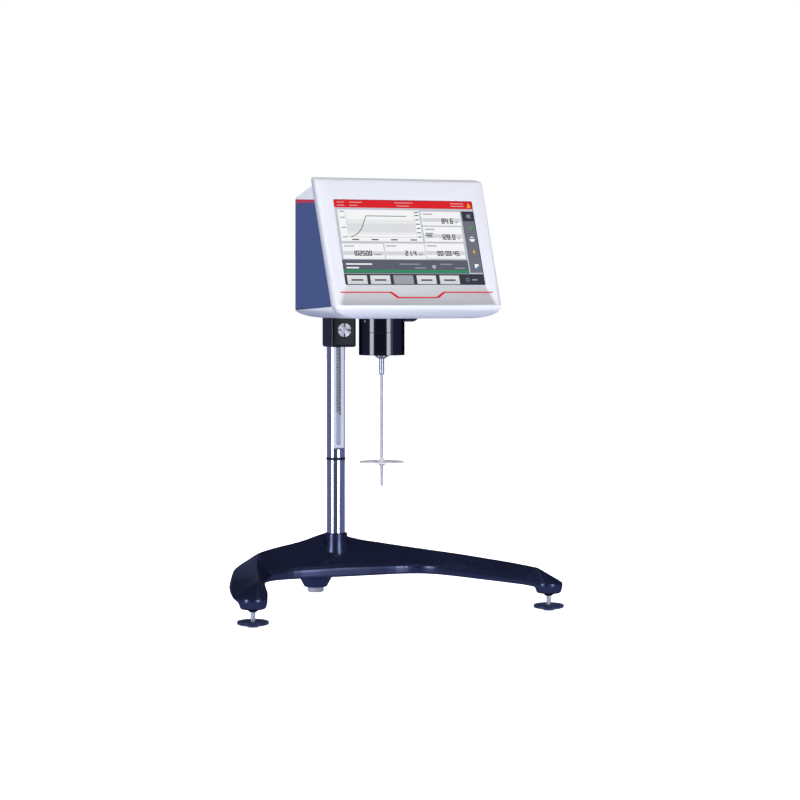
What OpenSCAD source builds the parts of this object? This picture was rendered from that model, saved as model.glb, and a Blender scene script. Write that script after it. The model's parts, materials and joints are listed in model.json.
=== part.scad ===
// Rotational viscometer: a measuring head on a rack-and-pinion stand.
// Millimetres, +Z up. The screen faces -Y, and the origin is on the bench
// below the middle of the outline.

/* [Stand] */
// Spindle axis to column axis
reach = 127.3; // [122:0.1:140]
// Column diameter
column_d = 20; // [19:0.5:21]
// Height of the column's upper end, below its cap
column_top = 425; // [415:1:430]
// Height of the socket's floor, where the column stands
socket_floor = 42; // [39:0.5:48]
// Height of the hub around the column
hub_top = 71.6; // [68:0.1:76]
// Outer radius of the hub at its top
hub_r = 12.5; // [12.3:0.1:14]
// Height of the base's underside
base_floor = 25.5; // [25:0.5:27]
// Height of the upright band along the inside of the base
band_h = 11.5; // [9:0.5:13]
// Thickness of the base behind the column
rear_arm_h = 24; // [20:1:27]

/* [Feet] */
// Half the distance between the two levelling screws
foot_half_span = 165.6; // [160:0.1:172]
// Levelling screws to column axis, front to back
foot_forward = 187.3; // [180:0.1:195]
// Column axis to rear pad
pad_behind = 60.1; // [56:0.1:66]
// Radius of the leg ends
leg_end_r = 17.5; // [17:0.1:18.5]
// Radius of the boss round each levelling screw
foot_boss_r = 14.7; // [13:0.1:15.5]
// Height of the underside of that boss
foot_boss_z = 17.8; // [17:0.1:19]
// Diameter of the levelling screws
screw_d = 5; // [5:0.5:6]
// Diameter of the levelling wheels
wheel_d = 32; // [28:0.5:36]
// Thickness of the levelling wheels
wheel_h = 4.4; // [3.5:0.1:5]
// Diameter of the glide under each wheel
glide_d = 12.8; // [10:0.1:16]
// Height of the glide, below the wheel
glide_h = 2.2; // [1.5:0.1:3]
// Diameter of the rear pad
pad_d = 18.4; // [14:0.1:20]
// Height of the rear pad
pad_h = 5.5; // [4:0.1:6.5]

/* [Rack and pinion] */
// Gear module
gear_module = 1; // [0.9:0.05:1.1]
// Teeth of the pinion
pinion_teeth = 12; // [11:1:14]
// Width of the rack
rack_w = 5.4; // [4.8:0.1:6]
// Thickness of the rack, back to tooth tip
rack_t = 4.6; // [4:0.1:5]
// Height of the rack's lower end
rack_bottom = 200; // [196:1:202]
// Width of the flat on the column
flat_w = 13; // [11:0.1:14]
// Height of the flat's lower end
flat_bottom = 165; // [160:1:175]
// Height of the pinion's axis
pinion_z = 322; // [320:0.5:326]
// Diameter of the pinion's shaft
shaft_d = 8; // [6:0.5:8.5]
// Diameter of the height knob
knob_d = 40; // [34:0.5:44]
// Distance of the height knob's outer end from the middle
knob_end = 91; // [80:0.5:95]
// Length of the height knob
knob_l = 20; // [16:0.5:24]
// Height of the stop ring's top
ring_top = 153.9; // [150:0.1:158]
// Thickness of the stop ring
ring_t = 3; // [2:0.1:4]
// How far the stop ring stands out of its groove
ring_proud = 0.6; // [0.3:0.1:1.5]

/* [Clamp block] */
// Width of the clamp block
block_w = 29.4; // [29:0.1:34]
// Column axis to the block's front face
block_front = 23.8; // [21.5:0.1:25]
// Height of the block's underside
block_bottom = 274.8; // [272:0.1:278]
// Height of the block's top
block_top = 372; // [370:0.5:376]
// Column axis to the front of the block's nose
nose_front = 50; // [45:0.5:55]
// Height of the nose, top to bottom
nose_h = 38; // [36.5:0.5:39]
// Diameter of the mounting rod
rod_d = 16; // [14:0.5:18]
// Height of the mounting rod's axis
rod_z = 354; // [352.5:0.5:355]
// Diameter of the tension screw's head
tension_d = 14.8; // [12:0.1:16]
// Height of the tension screw
tension_z = 293.4; // [290:0.1:296]

/* [Head] */
// Width of the screen's window
window_w = 155.6; // [145:0.1:156]
// Height of the screen's window
window_h = 93.4; // [86:0.1:95]
// Tilt of the screen from upright
face_tilt = 21; // [19:0.5:22]
// Spindle axis to the middle of the window
face_ahead = 73; // [70:0.1:76]
// Height of the middle of the window
face_z = 385.6; // [383:0.1:388]
// Width of the bezel
face_w = 185.1; // [180:0.1:190]
// Middle of the window to the bezel's top, along the face
face_up = 70.4; // [67:0.1:73]
// Middle of the window to the crease above the chin
face_down = 69.6; // [67:0.1:71]
// Depth of the bezel, front to back
bezel_depth = 22.5; // [20:0.1:25]
// Rounding of the bezel's front edge
bezel_round = 4.5; // [2:0.1:6]
// Height of the head's underside
head_bottom = 307.8; // [306:0.1:309]
// Width of the housing at its front
housing_w = 179; // [176:0.1:182]
// How much narrower the housing is at its back, on each side
housing_taper = 3; // [2:0.1:5]
// Spindle axis to the housing's back
back_behind = 27; // [26.6:0.1:30]
// Height of the housing's top at its back
back_top = 436; // [433:0.1:439]
// Slope of the housing's top
top_slope = 11; // [9:0.5:12]
// Wall of the housing
wall = 2.6; // [2.2:0.1:3]
// Thickness of the side panels
panel_t = 1.2; // [0.8:0.1:1.6]

/* [Measuring drive] */
// Diameter of the coupling housing
boss_d = 48; // [46:0.1:52]
// Height of the seam between collar and coupling housing
boss_seam = 292.6; // [289:0.1:294]
// Height of the coupling housing's underside
boss_bottom = 268.7; // [266:0.1:270]
// Diameter of the pivot shaft
pivot_d = 4; // [3:0.1:4.4]
// Width of the motor
motor_w = 35.2; // [32:0.1:35.4]
// Length of the motor
motor_l = 34; // [26:0.5:38]
// Height of the motor's mounting face
motor_z = 349; // [347:0.5:352]
// Turns of the measuring spring
spring_turns = 3.5; // [2.5:0.5:4.5]

/* [Spindle] */
// Diameter of the spindle's disc
disc_d = 46.93; // [20:0.01:60]
// Thickness of the disc
disc_t = 1.2; // [1:0.1:2.5]
// Diameter of the bead that holds the disc
bead_d = 8.6; // [7:0.1:12]
// Height of the middle of the disc
disc_z = 156.7; // [150:0.1:165]
// Height of the spindle's tip
tip_z = 131.4; // [125:0.1:140]
// Diameter of the spindle's rod
spindle_d = 3.2; // [2.5:0.1:4]
// Diameter of the spindle's sleeve
sleeve_d = 5.9; // [5:0.1:7]
// Height of the sleeve's lower end
sleeve_z = 248.4; // [240:0.1:252]
// Height of the immersion groove
groove_z = 180.5; // [175:0.1:190]

/* [Clearances] */
// Radial play of a running fit
run_gap = 0.05; // [0.03:0.01:0.08]
// Play between parts that only pass each other
pass_gap = 0.4; // [0.3:0.05:0.6]
// Backlash of the pinion, along the pitch line
backlash = 0.12; // [0.08:0.01:0.2]

/* [Hidden] */
$fn = 64;
slop = 0.01;
rear_reach = pad_behind + leg_end_r + 1;
face_foot = face_ahead + face_down * sin(face_tilt);
column_y = (reach + face_foot - rear_reach) / 2;
spindle_y = column_y - reach;
foot_y = column_y - foot_forward;
pad_y = column_y + pad_behind;

// Column and rack, seen from the column's axis
flat_depth = sqrt(pow(column_d / 2, 2) - pow(flat_w / 2, 2));
rack_back = flat_depth - rack_t;
tooth_pitch = PI * gear_module;
pressure = 20;
shift = 0.3 * gear_module;
addendum = gear_module;
dedendum = 1.25 * gear_module;
pitch_r = gear_module * pinion_teeth / 2;
pinion_tip_r = pitch_r + shift + 0.85 * gear_module;
pinion_root_r = pitch_r + shift - dedendum;
rack_pitch_line = flat_depth - addendum;
pinion_ahead = rack_pitch_line + pitch_r + shift;
pinion_w = rack_w - pass_gap;
pinion_y = column_y - pinion_ahead;

// Clamp block
bush_wall = 1.5;
guide_r = column_d / 2 + run_gap;
guide_l = 10;
shaft_bush_r = shaft_d / 2 + 2;
shaft_bush_l = 7;
cavity_r = pinion_tip_r + 2 * pass_gap;
rod_end_ahead = column_d / 2 + bush_wall + 10;
tension_shank_r = 4;

// Head
face_y = spindle_y - face_ahead;
back_y = spindle_y + back_behind;
inner_back = back_y - wall;
floor_z = head_bottom + wall;
lip = 1.2;
glass_t = 1.8;
display_t = 5.7;
frame_t = 1.5;
pocket_w = window_w + 6.8;
pocket_h = window_h + 7;
frame_w = pocket_w + 8.6;
frame_h = pocket_h + 11;
glass_back = lip + glass_t;
display_back = glass_back + display_t;
frame_back = display_back + frame_t;
board_gap = 12;
board_t = 1.6;
chassis_t = 6;
spigot_r = 15;
neck_r = 11;
bearing_r = 5.5;
bearing_l = 4;
chassis_top = floor_z + chassis_t;
upright_half = 24;
panel_x = 53;
panel_z = 336;
button_x = 50;
button_r = 6;
button_travel = 2;

// ---------- shared shapes ----------

function arc(c, rx, ry, from, to, n = 12) =
    [for (k = [0:n]) let (a = from + (to - from) * k / n) [c[0] + rx * cos(a), c[1] + ry * sin(a)]];

function mix(a, b, t) = a + (b - a) * t;

// Catmull-Rom curve through points, sampled n times on each span
function smooth(p, n) = [
    for (i = [0:len(p) - 2], j = [0:n - 1])
        let (a = p[max(i - 1, 0)], b = p[i], c = p[i + 1], d = p[min(i + 2, len(p) - 1)], t = j / n)
            (2 * b + (c - a) * t + (2 * a - 5 * b + 4 * c - d) * t * t
             + (3 * b - 3 * c + d - a) * t * t * t) / 2,
    p[len(p) - 1]
];

module at_column() translate([0, column_y, 0]) children();
module at_spindle() translate([0, spindle_y, 0]) children();
module on_face() translate([0, face_y, face_z]) rotate([90 - face_tilt, 0, 0]) children();
module bar_x(x0, x1, r) translate([x0, 0, 0]) rotate([0, 90, 0]) cylinder(h = x1 - x0, r = r);
module bar_y(y0, y1, r) translate([0, y0, 0]) rotate([-90, 0, 0]) cylinder(h = y1 - y0, r = r);
module bar_z(z0, z1, r) translate([0, 0, z0]) cylinder(h = z1 - z0, r = r);
module block(x, y, z) translate([x[0], y[0], z[0]]) cube([x[1] - x[0], y[1] - y[0], z[1] - z[0]]);
module side_prism(points, x0, x1)
    translate([x0, 0, 0]) rotate([90, 0, 90]) linear_extrude(x1 - x0) polygon(points);
module front_prism(points, y0, y1)
    translate([0, y1, 0]) rotate([90, 0, 0]) linear_extrude(y1 - y0) polygon(points);
module turned(points) rotate_extrude($fn = 64) polygon(points);
module round_slab(w, h, z0, z1, r)
    translate([0, 0, z0]) linear_extrude(z1 - z0) union() {
        square([w - 2 * r, h], center = true);
        square([w, h - 2 * r], center = true);
        for (x = [-1, 1], y = [-1, 1]) translate([x * (w / 2 - r), y * (h / 2 - r)]) circle(r = r);
    }
module hex_socket(z0, depth, across)
    translate([0, 0, z0]) cylinder(h = depth, d = across / cos(30), $fn = 6);

// ---------- stand ----------

// The right half of the casting, as curves from the column to the leg's end, seen from the column's axis.
// Each is [x, y, z]: inner lower edge, crease, outer upper edge, outer lower edge.
toe = [foot_half_span, -foot_forward];
inner_curve = [
    [0, -27.3, base_floor], [30, -27.3, base_floor], [60, -27, base_floor], [80, -31, base_floor],
    [91, -38, base_floor], [100.5, -50, base_floor], [109.5, -70.5, base_floor], [121.5, -104, base_floor],
    [toe[0] - 31.6, toe[1] + 46.3, base_floor], [toe[0] - 21.6, toe[1] + 15.3, base_floor]
];
crease_curve = [
    [0, 19, 64.5], [26, 19, 62], [54, 17.5, 57.8], [78, 12, 53.6],
    [92, -2, 51.8], [104, -30, 50.6], [117.6, -66.4, 49.5], [131.3, -103.4, 48],
    [toe[0] - 21, toe[1] + 46.8, 46.5], [toe[0] - 9, toe[1] + 9.8, 44.5]
];
outer_curve = [
    [0, 25, 62], [30, 24, 59], [62, 22, 54.5], [86, 13, 51],
    [106, -8, 46.6], [124, -38, 46.4], [144.5, -72, 44.4], [163.7, -118, 41],
    [toe[0] + 7, toe[1] + 44, 37.5], [toe[0] + leg_end_r - 1, toe[1] + 10, 29.5]
];
rings_per_span = 3;
inner_line = smooth(inner_curve, rings_per_span);
crease_line = smooth(crease_curve, rings_per_span);
outer_line = smooth(outer_curve, rings_per_span);
ring_count = len(inner_line);

// The face between band and crease rises towards the hub, from nearer the hub at its front
function saddle(x, depth) =
    let (start = mix(20, 46, depth), u = max(0, 1 - x / start)) 9 * u * u * depth;

// One cross-section, from the inner lower edge over the top to the outer lower edge
function leg_ring(i) =
    let (
        p = inner_line[i], c = crease_line[i], o = outer_line[i],
        t = i / (ring_count - 1),
        band = mix(band_h, band_h * 0.55, t),
        brow = [p[0], p[1], p[2] + band],
        drop = mix(16, 7, t),
        lift = function (q, s, bulge = 0) [q[0], q[1], min(q[2] + bulge + saddle(q[0], s), hub_top - 2.3)]
    ) [
        p,
        mix(p, brow, 0.85),
        lift(mix(brow, c, 0.06), 0.06, 0.5),
        lift(mix(brow, c, 0.35), 0.35, 1.2),
        lift(mix(brow, c, 0.65), 0.65, 1.4),
        lift(mix(brow, c, 0.9), 0.9, 0.9),
        lift(c, 1),
        mix(lift(c, 1), lift(o, 1), 0.6),
        lift(o, 1),
        [mix(o[0], c[0], -0.08), mix(o[1], c[1], -0.08), mix(o[2], base_floor + 3, 0.5)],
        [mix(o[0], c[0], -0.04), mix(o[1], c[1], -0.04), base_floor + 3],
        mix([o[0], o[1], base_floor], [p[0], p[1], base_floor], 0.12)
    ];
function mirrored(ring) = [for (q = ring) [-q[0], q[1], q[2]]];
arch_rings = concat(
    [for (i = [ring_count - 1:-1:1]) mirrored(leg_ring(i))],
    [for (i = [0:ring_count - 1]) leg_ring(i)]
);

module sweep(rings) {
    n = len(rings[0]);
    m = len(rings);
    polyhedron(
        points = [for (r = rings, q = r) q],
        faces = concat(
            [[for (k = [n - 1:-1:0]) k]],
            [[for (k = [0:n - 1]) (m - 1) * n + k]],
            [for (i = [0:m - 2], k = [0:n - 1]) let (a = i * n + k, b = i * n + (k + 1) % n)
                each [[a, b, a + n], [b, b + n, a + n]]]
        ),
        convexity = 6
    );
}

boss_rim = base_floor + 4;

// End of a leg: its last section runs down into the boss for the levelling screw
module leg_end() {
    last = leg_ring(ring_count - 1);
    before = leg_ring(ring_count - 2);
    hull() {
        sweep([[for (k = [0:len(last) - 1]) mix(last[k], before[k], 0.1)], last]);
        translate(toe) bar_z(base_floor - 1, boss_rim - 0.4, foot_boss_r - 0.2, $fn = 48);
    }
    hull() {
        sweep([[for (k = [7:10]) mix(last[k], before[k], 0.3)], [for (k = [7:10]) last[k]]]);
        translate(toe) bar_z(foot_boss_z + 5.5, boss_rim - 1, foot_boss_r - 1, $fn = 48);
    }
    translate(toe) turned(concat(
        [[0, foot_boss_z]],
        arc([foot_boss_r - 4, foot_boss_z + 3], 2.8, 3, -90, -20, 5),
        [[foot_boss_r - 0.3, base_floor - 2], [foot_boss_r, base_floor], [foot_boss_r, boss_rim - 0.8],
         [foot_boss_r - 0.8, boss_rim], [0, boss_rim]]
    ));
}

module rear_arm() {
    stub_r = leg_end_r + 1;
    hull() {
        translate([0, 8, 0]) bar_z(base_floor + 0.6, base_floor + rear_arm_h, 14, $fn = 40);
        translate([0, pad_behind, 0]) bar_z(base_floor - 9, base_floor + 8, stub_r, $fn = 40);
        translate([0, pad_behind, 0]) bar_z(base_floor + 8, base_floor + 13, stub_r - 5, $fn = 40);
    }
    translate([0, pad_behind, 0]) turned([
        [0, pad_h], [pad_d / 2 + 3.3, pad_h], [stub_r, base_floor - 9], [0, base_floor - 9]
    ]);
}

module hub() turned(concat(
    [[0, base_floor + 1], [19, base_floor + 1]],
    arc([hub_r + 16, hub_top - 8], 16, hub_top - 6 - base_floor - band_h, -95, -180, 12),
    arc([hub_r - 1, hub_top - 1], 1, 1, 0, 90, 4),
    [[0, hub_top]]
));

foot_travel = 4;
screw_top = boss_rim - 2;
insert_r = screw_d / 2 + 2;
insert_l = 12;
cone_r = 6.2;
cone_h = 2.8;
pad_stem_r = 3;
pad_stem_l = 7;

module base_casting() color([0.09, 0.10, 0.14]) difference() {
    at_column() union() {
        sweep(arch_rings);
        hub();
        rear_arm();
        leg_end();
        scale([-1, 1, 1]) leg_end();
    }
    at_column() {
        bar_z(socket_floor, hub_top + 1, column_d / 2);
        bar_z(base_floor - 4, socket_floor + 1, bolt_r + 0.3);
        bar_z(base_floor - 4, socket_floor - 6, washer_r + 0.3);
        translate([0, pad_behind, 0]) bar_z(pad_h - 1, pad_h + pad_stem_l, pad_stem_r);
    }
    for (x = [-1, 1]) translate([x * toe[0], foot_y, 0]) {
        bar_z(foot_boss_z - 1, foot_boss_z + insert_l, insert_r);
        bar_z(foot_boss_z, screw_top + foot_travel + 0.5, screw_d / 2 + 0.6);
    }
}

// Threaded inserts with a conical nose under each boss
module foot_inserts() color([0.07, 0.07, 0.08]) for (x = [-1, 1])
    translate([x * foot_half_span, foot_y, 0]) difference() {
        turned([
            [0, foot_boss_z - cone_h], [screw_d / 2 + 0.8, foot_boss_z - cone_h], [cone_r, foot_boss_z - 0.5],
            [cone_r, foot_boss_z], [insert_r, foot_boss_z], [insert_r, foot_boss_z + insert_l],
            [0, foot_boss_z + insert_l]
        ]);
        bar_z(foot_boss_z - cone_h - 1, foot_boss_z + insert_l + 1, screw_d / 2 + run_gap);
    }

module rear_pad() color([0.80, 0.80, 0.86]) translate([0, pad_y, 0]) turned([
    [0, 0], [pad_d / 2 - 1.4, 0], [pad_d / 2, 1.4], [pad_d / 2, pad_h],
    [pad_stem_r, pad_h], [pad_stem_r, pad_h + pad_stem_l - 0.5], [0, pad_h + pad_stem_l - 0.5]
]);

bolt_r = 4;
groove_r = column_d / 2 - 1.2;
washer_r = 8;
washer_t = 1.6;

module column() color([0.74, 0.76, 0.80]) at_column() difference() {
    union() {
        bar_z(socket_floor, column_top - 1, column_d / 2);
        translate([0, 0, column_top - 1]) cylinder(h = 1, r1 = column_d / 2, r2 = column_d / 2 - 1);
    }
    block([-column_d, column_d], [-column_d, -flat_depth], [flat_bottom, column_top + 1]);
    translate([0, -column_d / 2, flat_bottom]) bar_x(-column_d, column_d, column_d / 2 - flat_depth);
    block([-rack_w / 2, rack_w / 2], [-column_d, -rack_back], [rack_bottom, column_top + 1]);
    difference() {
        bar_z(ring_top - ring_t, ring_top, column_d);
        bar_z(ring_top - ring_t - 1, ring_top + 1, groove_r);
    }
    bar_z(socket_floor - 1, socket_floor + 22, bolt_r);
    bar_z(column_top - 12, column_top + 1, 2.5);
}

// Teeth stand towards the front, with a gap level with the pinion's axis
module rack() color([0.42, 0.43, 0.46]) at_column() {
    tip = rack_pitch_line + addendum;
    root = rack_pitch_line - dedendum;
    slope = tan(pressure);
    tip_half = tooth_pitch / 4 - addendum * slope;
    root_half = tooth_pitch / 4 + dedendum * slope;
    first = ceil((rack_bottom - pinion_z + root_half) / tooth_pitch - 0.5);
    last = floor((column_top - pinion_z - root_half) / tooth_pitch - 0.5);
    side_prism(concat(
        [[-rack_back, rack_bottom], [-root, rack_bottom]],
        [for (k = [first:last]) let (z = pinion_z + (k + 0.5) * tooth_pitch)
            each [[-root, z - root_half], [-tip, z - tip_half],
                  [-tip, z + tip_half], [-root, z + root_half]]],
        [[-root, column_top], [-rack_back, column_top]]
    ), -rack_w / 2, rack_w / 2);
}

// Rubber ring in its groove, where the block comes to rest
module stop_ring() color([0.07, 0.07, 0.08]) at_column() turned(concat(
    [[groove_r, ring_top - ring_t], [column_d / 2, ring_top - ring_t]],
    arc([column_d / 2, ring_top - ring_t / 2], ring_proud, ring_t / 2 - 0.1, -90, 90, 8),
    [[column_d / 2, ring_top], [groove_r, ring_top]]
));

module column_bolt() color([0.45, 0.46, 0.48]) at_column() {
    seat = socket_floor - 6 - washer_t;
    difference() {
        union() {
            bar_z(seat - 5, seat, 6.5);
            bar_z(seat, socket_floor + 20, bolt_r);
        }
        hex_socket(seat - 5 - slop, 2.8, 5);
    }
}

module column_washer() color([0.62, 0.63, 0.65]) at_column() difference() {
    bar_z(socket_floor - 6 - washer_t, socket_floor - 6, washer_r);
    bar_z(socket_floor - 10, socket_floor, bolt_r + 0.2);
}

module column_cap() color([0.07, 0.07, 0.08]) at_column() turned([
    [0, column_top - 10], [2.5, column_top - 10], [2.5, column_top], [column_d / 2 + 1.5, column_top],
    [column_d / 2 + 1.5, column_top + 3.5], [column_d / 2, column_top + 5], [0, column_top + 5]
]);

// ---------- levelling feet ----------

module at_foot(side) translate([side * foot_half_span, foot_y, 0]) children();
wheel_top = glide_h + wheel_h;
screw_seat = glide_h + 1;

module leveling_screw(side) color([0.72, 0.73, 0.76]) at_foot(side) union() {
    bar_z(screw_seat, screw_top - 1, screw_d / 2);
    translate([0, 0, screw_top - 1]) cylinder(h = 1, r1 = screw_d / 2, r2 = screw_d / 2 - 1);
}

// Wheel and glide, with a knurled rim
knurl_count = 48;
module leveling_wheel(side) color([0.08, 0.08, 0.10]) at_foot(side) difference() {
    turned([
        [0, 0], [glide_d / 2 - 1, 0], [glide_d / 2, 0.8], [glide_d / 2 + 0.6, glide_h],
        [wheel_d / 2 - 2.2, glide_h], [wheel_d / 2, glide_h + 0.8], [wheel_d / 2, wheel_top - 0.8],
        [wheel_d / 2 - 2.2, wheel_top], [6, wheel_top + 0.9], [0, wheel_top + 0.9]
    ]);
    bar_z(screw_seat, wheel_top + 2, screw_d / 2 + run_gap);
    for (k = [0:knurl_count - 1]) rotate(k * 360 / knurl_count) translate([wheel_d / 2 + 0.3, 0, 0])
        bar_z(glide_h - 0.5, wheel_top + 0.5, 0.9, $fn = 4);
}
module leveling_screw_left() leveling_screw(-1);
module leveling_screw_right() leveling_screw(1);
module leveling_wheel_left() leveling_wheel(-1);
module leveling_wheel_right() leveling_wheel(1);

// ---------- carriage: clamp block, drive and rod ----------

function rounded(x0, z0, x1, z1, r) = concat(
    arc([x1 - r, z0 + r], r, r, -90, 0, 6), arc([x1 - r, z1 - r], r, r, 0, 90, 6),
    arc([x0 + r, z1 - r], r, r, 90, 180, 6), arc([x0 + r, z0 + r], r, r, 180, 270, 6)
);

block_half = block_w / 2;
block_edge = 3;
tension_bore_r = tension_shank_r + run_gap;
counterbore_l = 6;
clamp_screw_z = rod_z - rod_d / 2 - 5.5;
clamp_screw_ahead = (nose_front + block_front) / 2 + 4;
clamp_head_r = 4.25;
clamp_head_l = 5;

module clamp_shape() {
    turned(concat(
        [[0, block_bottom]],
        arc([block_half - block_edge, block_bottom + block_edge], block_edge, block_edge, -90, 0, 6),
        [[block_half, block_top - 1], [block_half - 1, block_top], [0, block_top]]
    ));
    intersection() {
        side_prism(concat(
            [[0, block_bottom], [0, block_top], [1 - block_front, block_top], [-block_front, block_top - 1]],
            arc([block_edge - block_front, block_bottom + block_edge], block_edge, block_edge, 180, 270, 6)
        ), -block_half, block_half);
        front_prism(concat(
            arc([block_edge - block_half, block_bottom + block_edge], block_edge, block_edge, 180, 270, 6),
            arc([block_half - block_edge, block_bottom + block_edge], block_edge, block_edge, -90, 0, 6),
            [[block_half, block_top - 1], [block_half - 1, block_top],
             [1 - block_half, block_top], [-block_half, block_top - 1]]
        ), -block_front - 1, 0);
        union() {
            block([-block_half, block_half], [block_edge - block_front, 0], [block_bottom, block_top]);
            block([block_edge - block_half, block_half - block_edge], [-block_front, 0],
                  [block_bottom, block_top]);
            for (x = [-1, 1]) translate([x * (block_half - block_edge), block_edge - block_front, 0])
                bar_z(block_bottom, block_top, block_edge);
        }
    }
    front_prism(
        rounded(-block_half + 0.5, block_top - nose_h, block_half - 0.5, block_top, 4), -nose_front, -12
    );
}

module clamp_block() color([0.10, 0.10, 0.12]) at_column() difference() {
    clamp_shape();
    bar_z(block_bottom - 1, block_top + 1, column_d / 2 + bush_wall);
    translate([0, -pinion_ahead, pinion_z]) {
        bar_x(-pinion_w / 2 - 1.5, pinion_w / 2 + 1.5, cavity_r);
        bar_x(-block_half - 1, block_half + 1, shaft_d / 2 + 0.5);
        for (s = [-1, 1]) scale([s, 1, 1]) bar_x(block_half - shaft_bush_l, block_half + 1, shaft_bush_r);
    }
    translate([0, 0, tension_z]) {
        bar_y(-block_front - 1, 0, tension_bore_r);
        bar_y(-block_front - 1, counterbore_l - block_front, tension_d / 2 + pass_gap);
    }
    translate([0, 0, rod_z]) bar_y(-nose_front - 1, 1 - rod_end_ahead, rod_d / 2);
    block([-1, 1], [-nose_front - 1, -block_front - 2], [block_top - nose_h - 1, rod_z]);
    translate([0, -clamp_screw_ahead, clamp_screw_z]) {
        bar_x(-block_half + 3, block_half + 1, 2.5);
        bar_x(block_half - clamp_head_l - 0.5, block_half + 1, clamp_head_r);
    }
}

module guide_bushes() color([0.66, 0.55, 0.30]) at_column()
    for (z = [block_bottom, block_top - guide_l]) difference() {
        bar_z(z, z + guide_l, column_d / 2 + bush_wall);
        bar_z(z - 1, z + guide_l + 1, guide_r);
    }

module shaft_bushes() color([0.66, 0.55, 0.30]) translate([0, pinion_y, pinion_z])
    for (s = [-1, 1]) scale([s, 1, 1]) difference() {
        bar_x(block_half - shaft_bush_l, block_half, shaft_bush_r);
        bar_x(block_half - shaft_bush_l - 1, block_half + 1, shaft_d / 2 + run_gap);
    }

pad_clear = 0.1;
tension_pad_l = 6;
module tension_pad() color([0.70, 0.58, 0.30]) at_column() translate([0, 0, tension_z])
    bar_y(-flat_depth - pad_clear - tension_pad_l, -flat_depth - pad_clear, tension_shank_r);

// Broad-headed screw that sets how hard the carriage is held; four slots run in from its rim
tension_front = -block_front - 1.7;
module tension_screw() color([0.62, 0.63, 0.66]) at_column() translate([0, 0, tension_z]) difference() {
    union() {
        bar_y(tension_front, counterbore_l - block_front - 0.1, tension_d / 2);
        bar_y(-block_front, -flat_depth - pad_clear - tension_pad_l - 0.1, tension_shank_r);
    }
    for (a = [0:90:270]) rotate([0, a, 0])
        block([tension_d / 2 - 3.8, tension_d], [tension_front - 1, tension_front + 1.6], [-0.6, 0.6]);
}

module rod_clamp_screw() color([0.5, 0.5, 0.52])
    translate([0, column_y - clamp_screw_ahead, clamp_screw_z]) difference() {
        union() {
            bar_x(-block_half + 3, block_half - clamp_head_l - 0.5, 2.5);
            bar_x(block_half - clamp_head_l - 0.5, block_half - 0.5, clamp_head_r);
        }
        translate([block_half - 3.2, 0, 0]) rotate([0, 90, 0]) hex_socket(0, 4, 4);
    }

rod_screw_r = 4;
rod_screw_l = 20;
upright_t = 6;
module mounting_rod() color([0.72, 0.73, 0.76]) translate([0, 0, rod_z]) difference() {
    bar_y(inner_back, column_y - rod_end_ahead, rod_d / 2);
    bar_y(inner_back - 1, inner_back + rod_screw_l - upright_t, rod_screw_r);
}

module rod_screw_shape() {
    bar_y(inner_back - upright_t, inner_back + rod_screw_l - upright_t, rod_screw_r);
    translate([0, inner_back - upright_t, 0]) rotate([-90, 0, 0])
        cylinder(h = 4, r1 = rod_screw_r * 2, r2 = rod_screw_r);
}

module rod_screw() color([0.5, 0.5, 0.52]) translate([0, 0, rod_z]) difference() {
    rod_screw_shape();
    translate([0, inner_back - upright_t + 3, 0]) rotate([90, 0, 0]) hex_socket(0, 4, 5);
}

// Involute flank: half the angle a tooth takes up at radius r
function inv(a) = tan(a) * 180 / PI - a;
function half_angle(r) =
    let (
        thick = tooth_pitch / 2 + 2 * shift * tan(pressure) - backlash,
        base = pitch_r * cos(pressure),
        a = acos(min(1, base / max(r, base)))
    ) thick / (2 * pitch_r) * 180 / PI + inv(pressure) - inv(a);

module pinion_outline() {
    base = pitch_r * cos(pressure);
    start = max(base, pinion_root_r + 0.3);
    radii = concat([pinion_root_r], [for (k = [0:4]) mix(start, pinion_tip_r, k / 4)]);
    polygon([for (t = [0:pinion_teeth - 1]) let (mid = 90 + t * 360 / pinion_teeth)
        each concat(
            [for (k = [0:len(radii) - 1]) let (a = mid - half_angle(radii[k])) radii[k] * [cos(a), sin(a)]],
            [for (k = [len(radii) - 1:-1:0]) let (a = mid + half_angle(radii[k])) radii[k] * [cos(a), sin(a)]]
        )]);
}

module pinion() color([0.42, 0.43, 0.46]) translate([0, pinion_y, pinion_z]) difference() {
    translate([-pinion_w / 2, 0, 0]) rotate([0, 90, 0]) linear_extrude(pinion_w) pinion_outline();
    bar_x(-pinion_w, pinion_w, shaft_d / 2);
}

shaft_end = knob_end - 5;
clip_groove_r = shaft_d / 2 - 0.8;
clip_t = 1;
clip_x = -block_half - run_gap - clip_t;
module pinion_shaft() color([0.68, 0.69, 0.72]) translate([0, pinion_y, pinion_z]) difference() {
    union() {
        bar_x(clip_x - 2, shaft_end, shaft_d / 2);
        bar_x(block_half + run_gap, block_half + 5, shaft_d / 2 + 2);
    }
    difference() {
        bar_x(clip_x, clip_x + clip_t, shaft_d);
        bar_x(clip_x - 1, clip_x + clip_t + 1, clip_groove_r);
    }
}

module shaft_clip() color([0.3, 0.3, 0.32]) translate([0, pinion_y, pinion_z]) difference() {
    bar_x(clip_x, clip_x + clip_t, shaft_d / 2 + 2.2);
    bar_x(clip_x - 1, clip_x + clip_t + 1, clip_groove_r);
    block([clip_x - 1, clip_x + 2], [-clip_groove_r * 0.8, clip_groove_r * 0.8], [-shaft_d, 0]);
}

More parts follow.
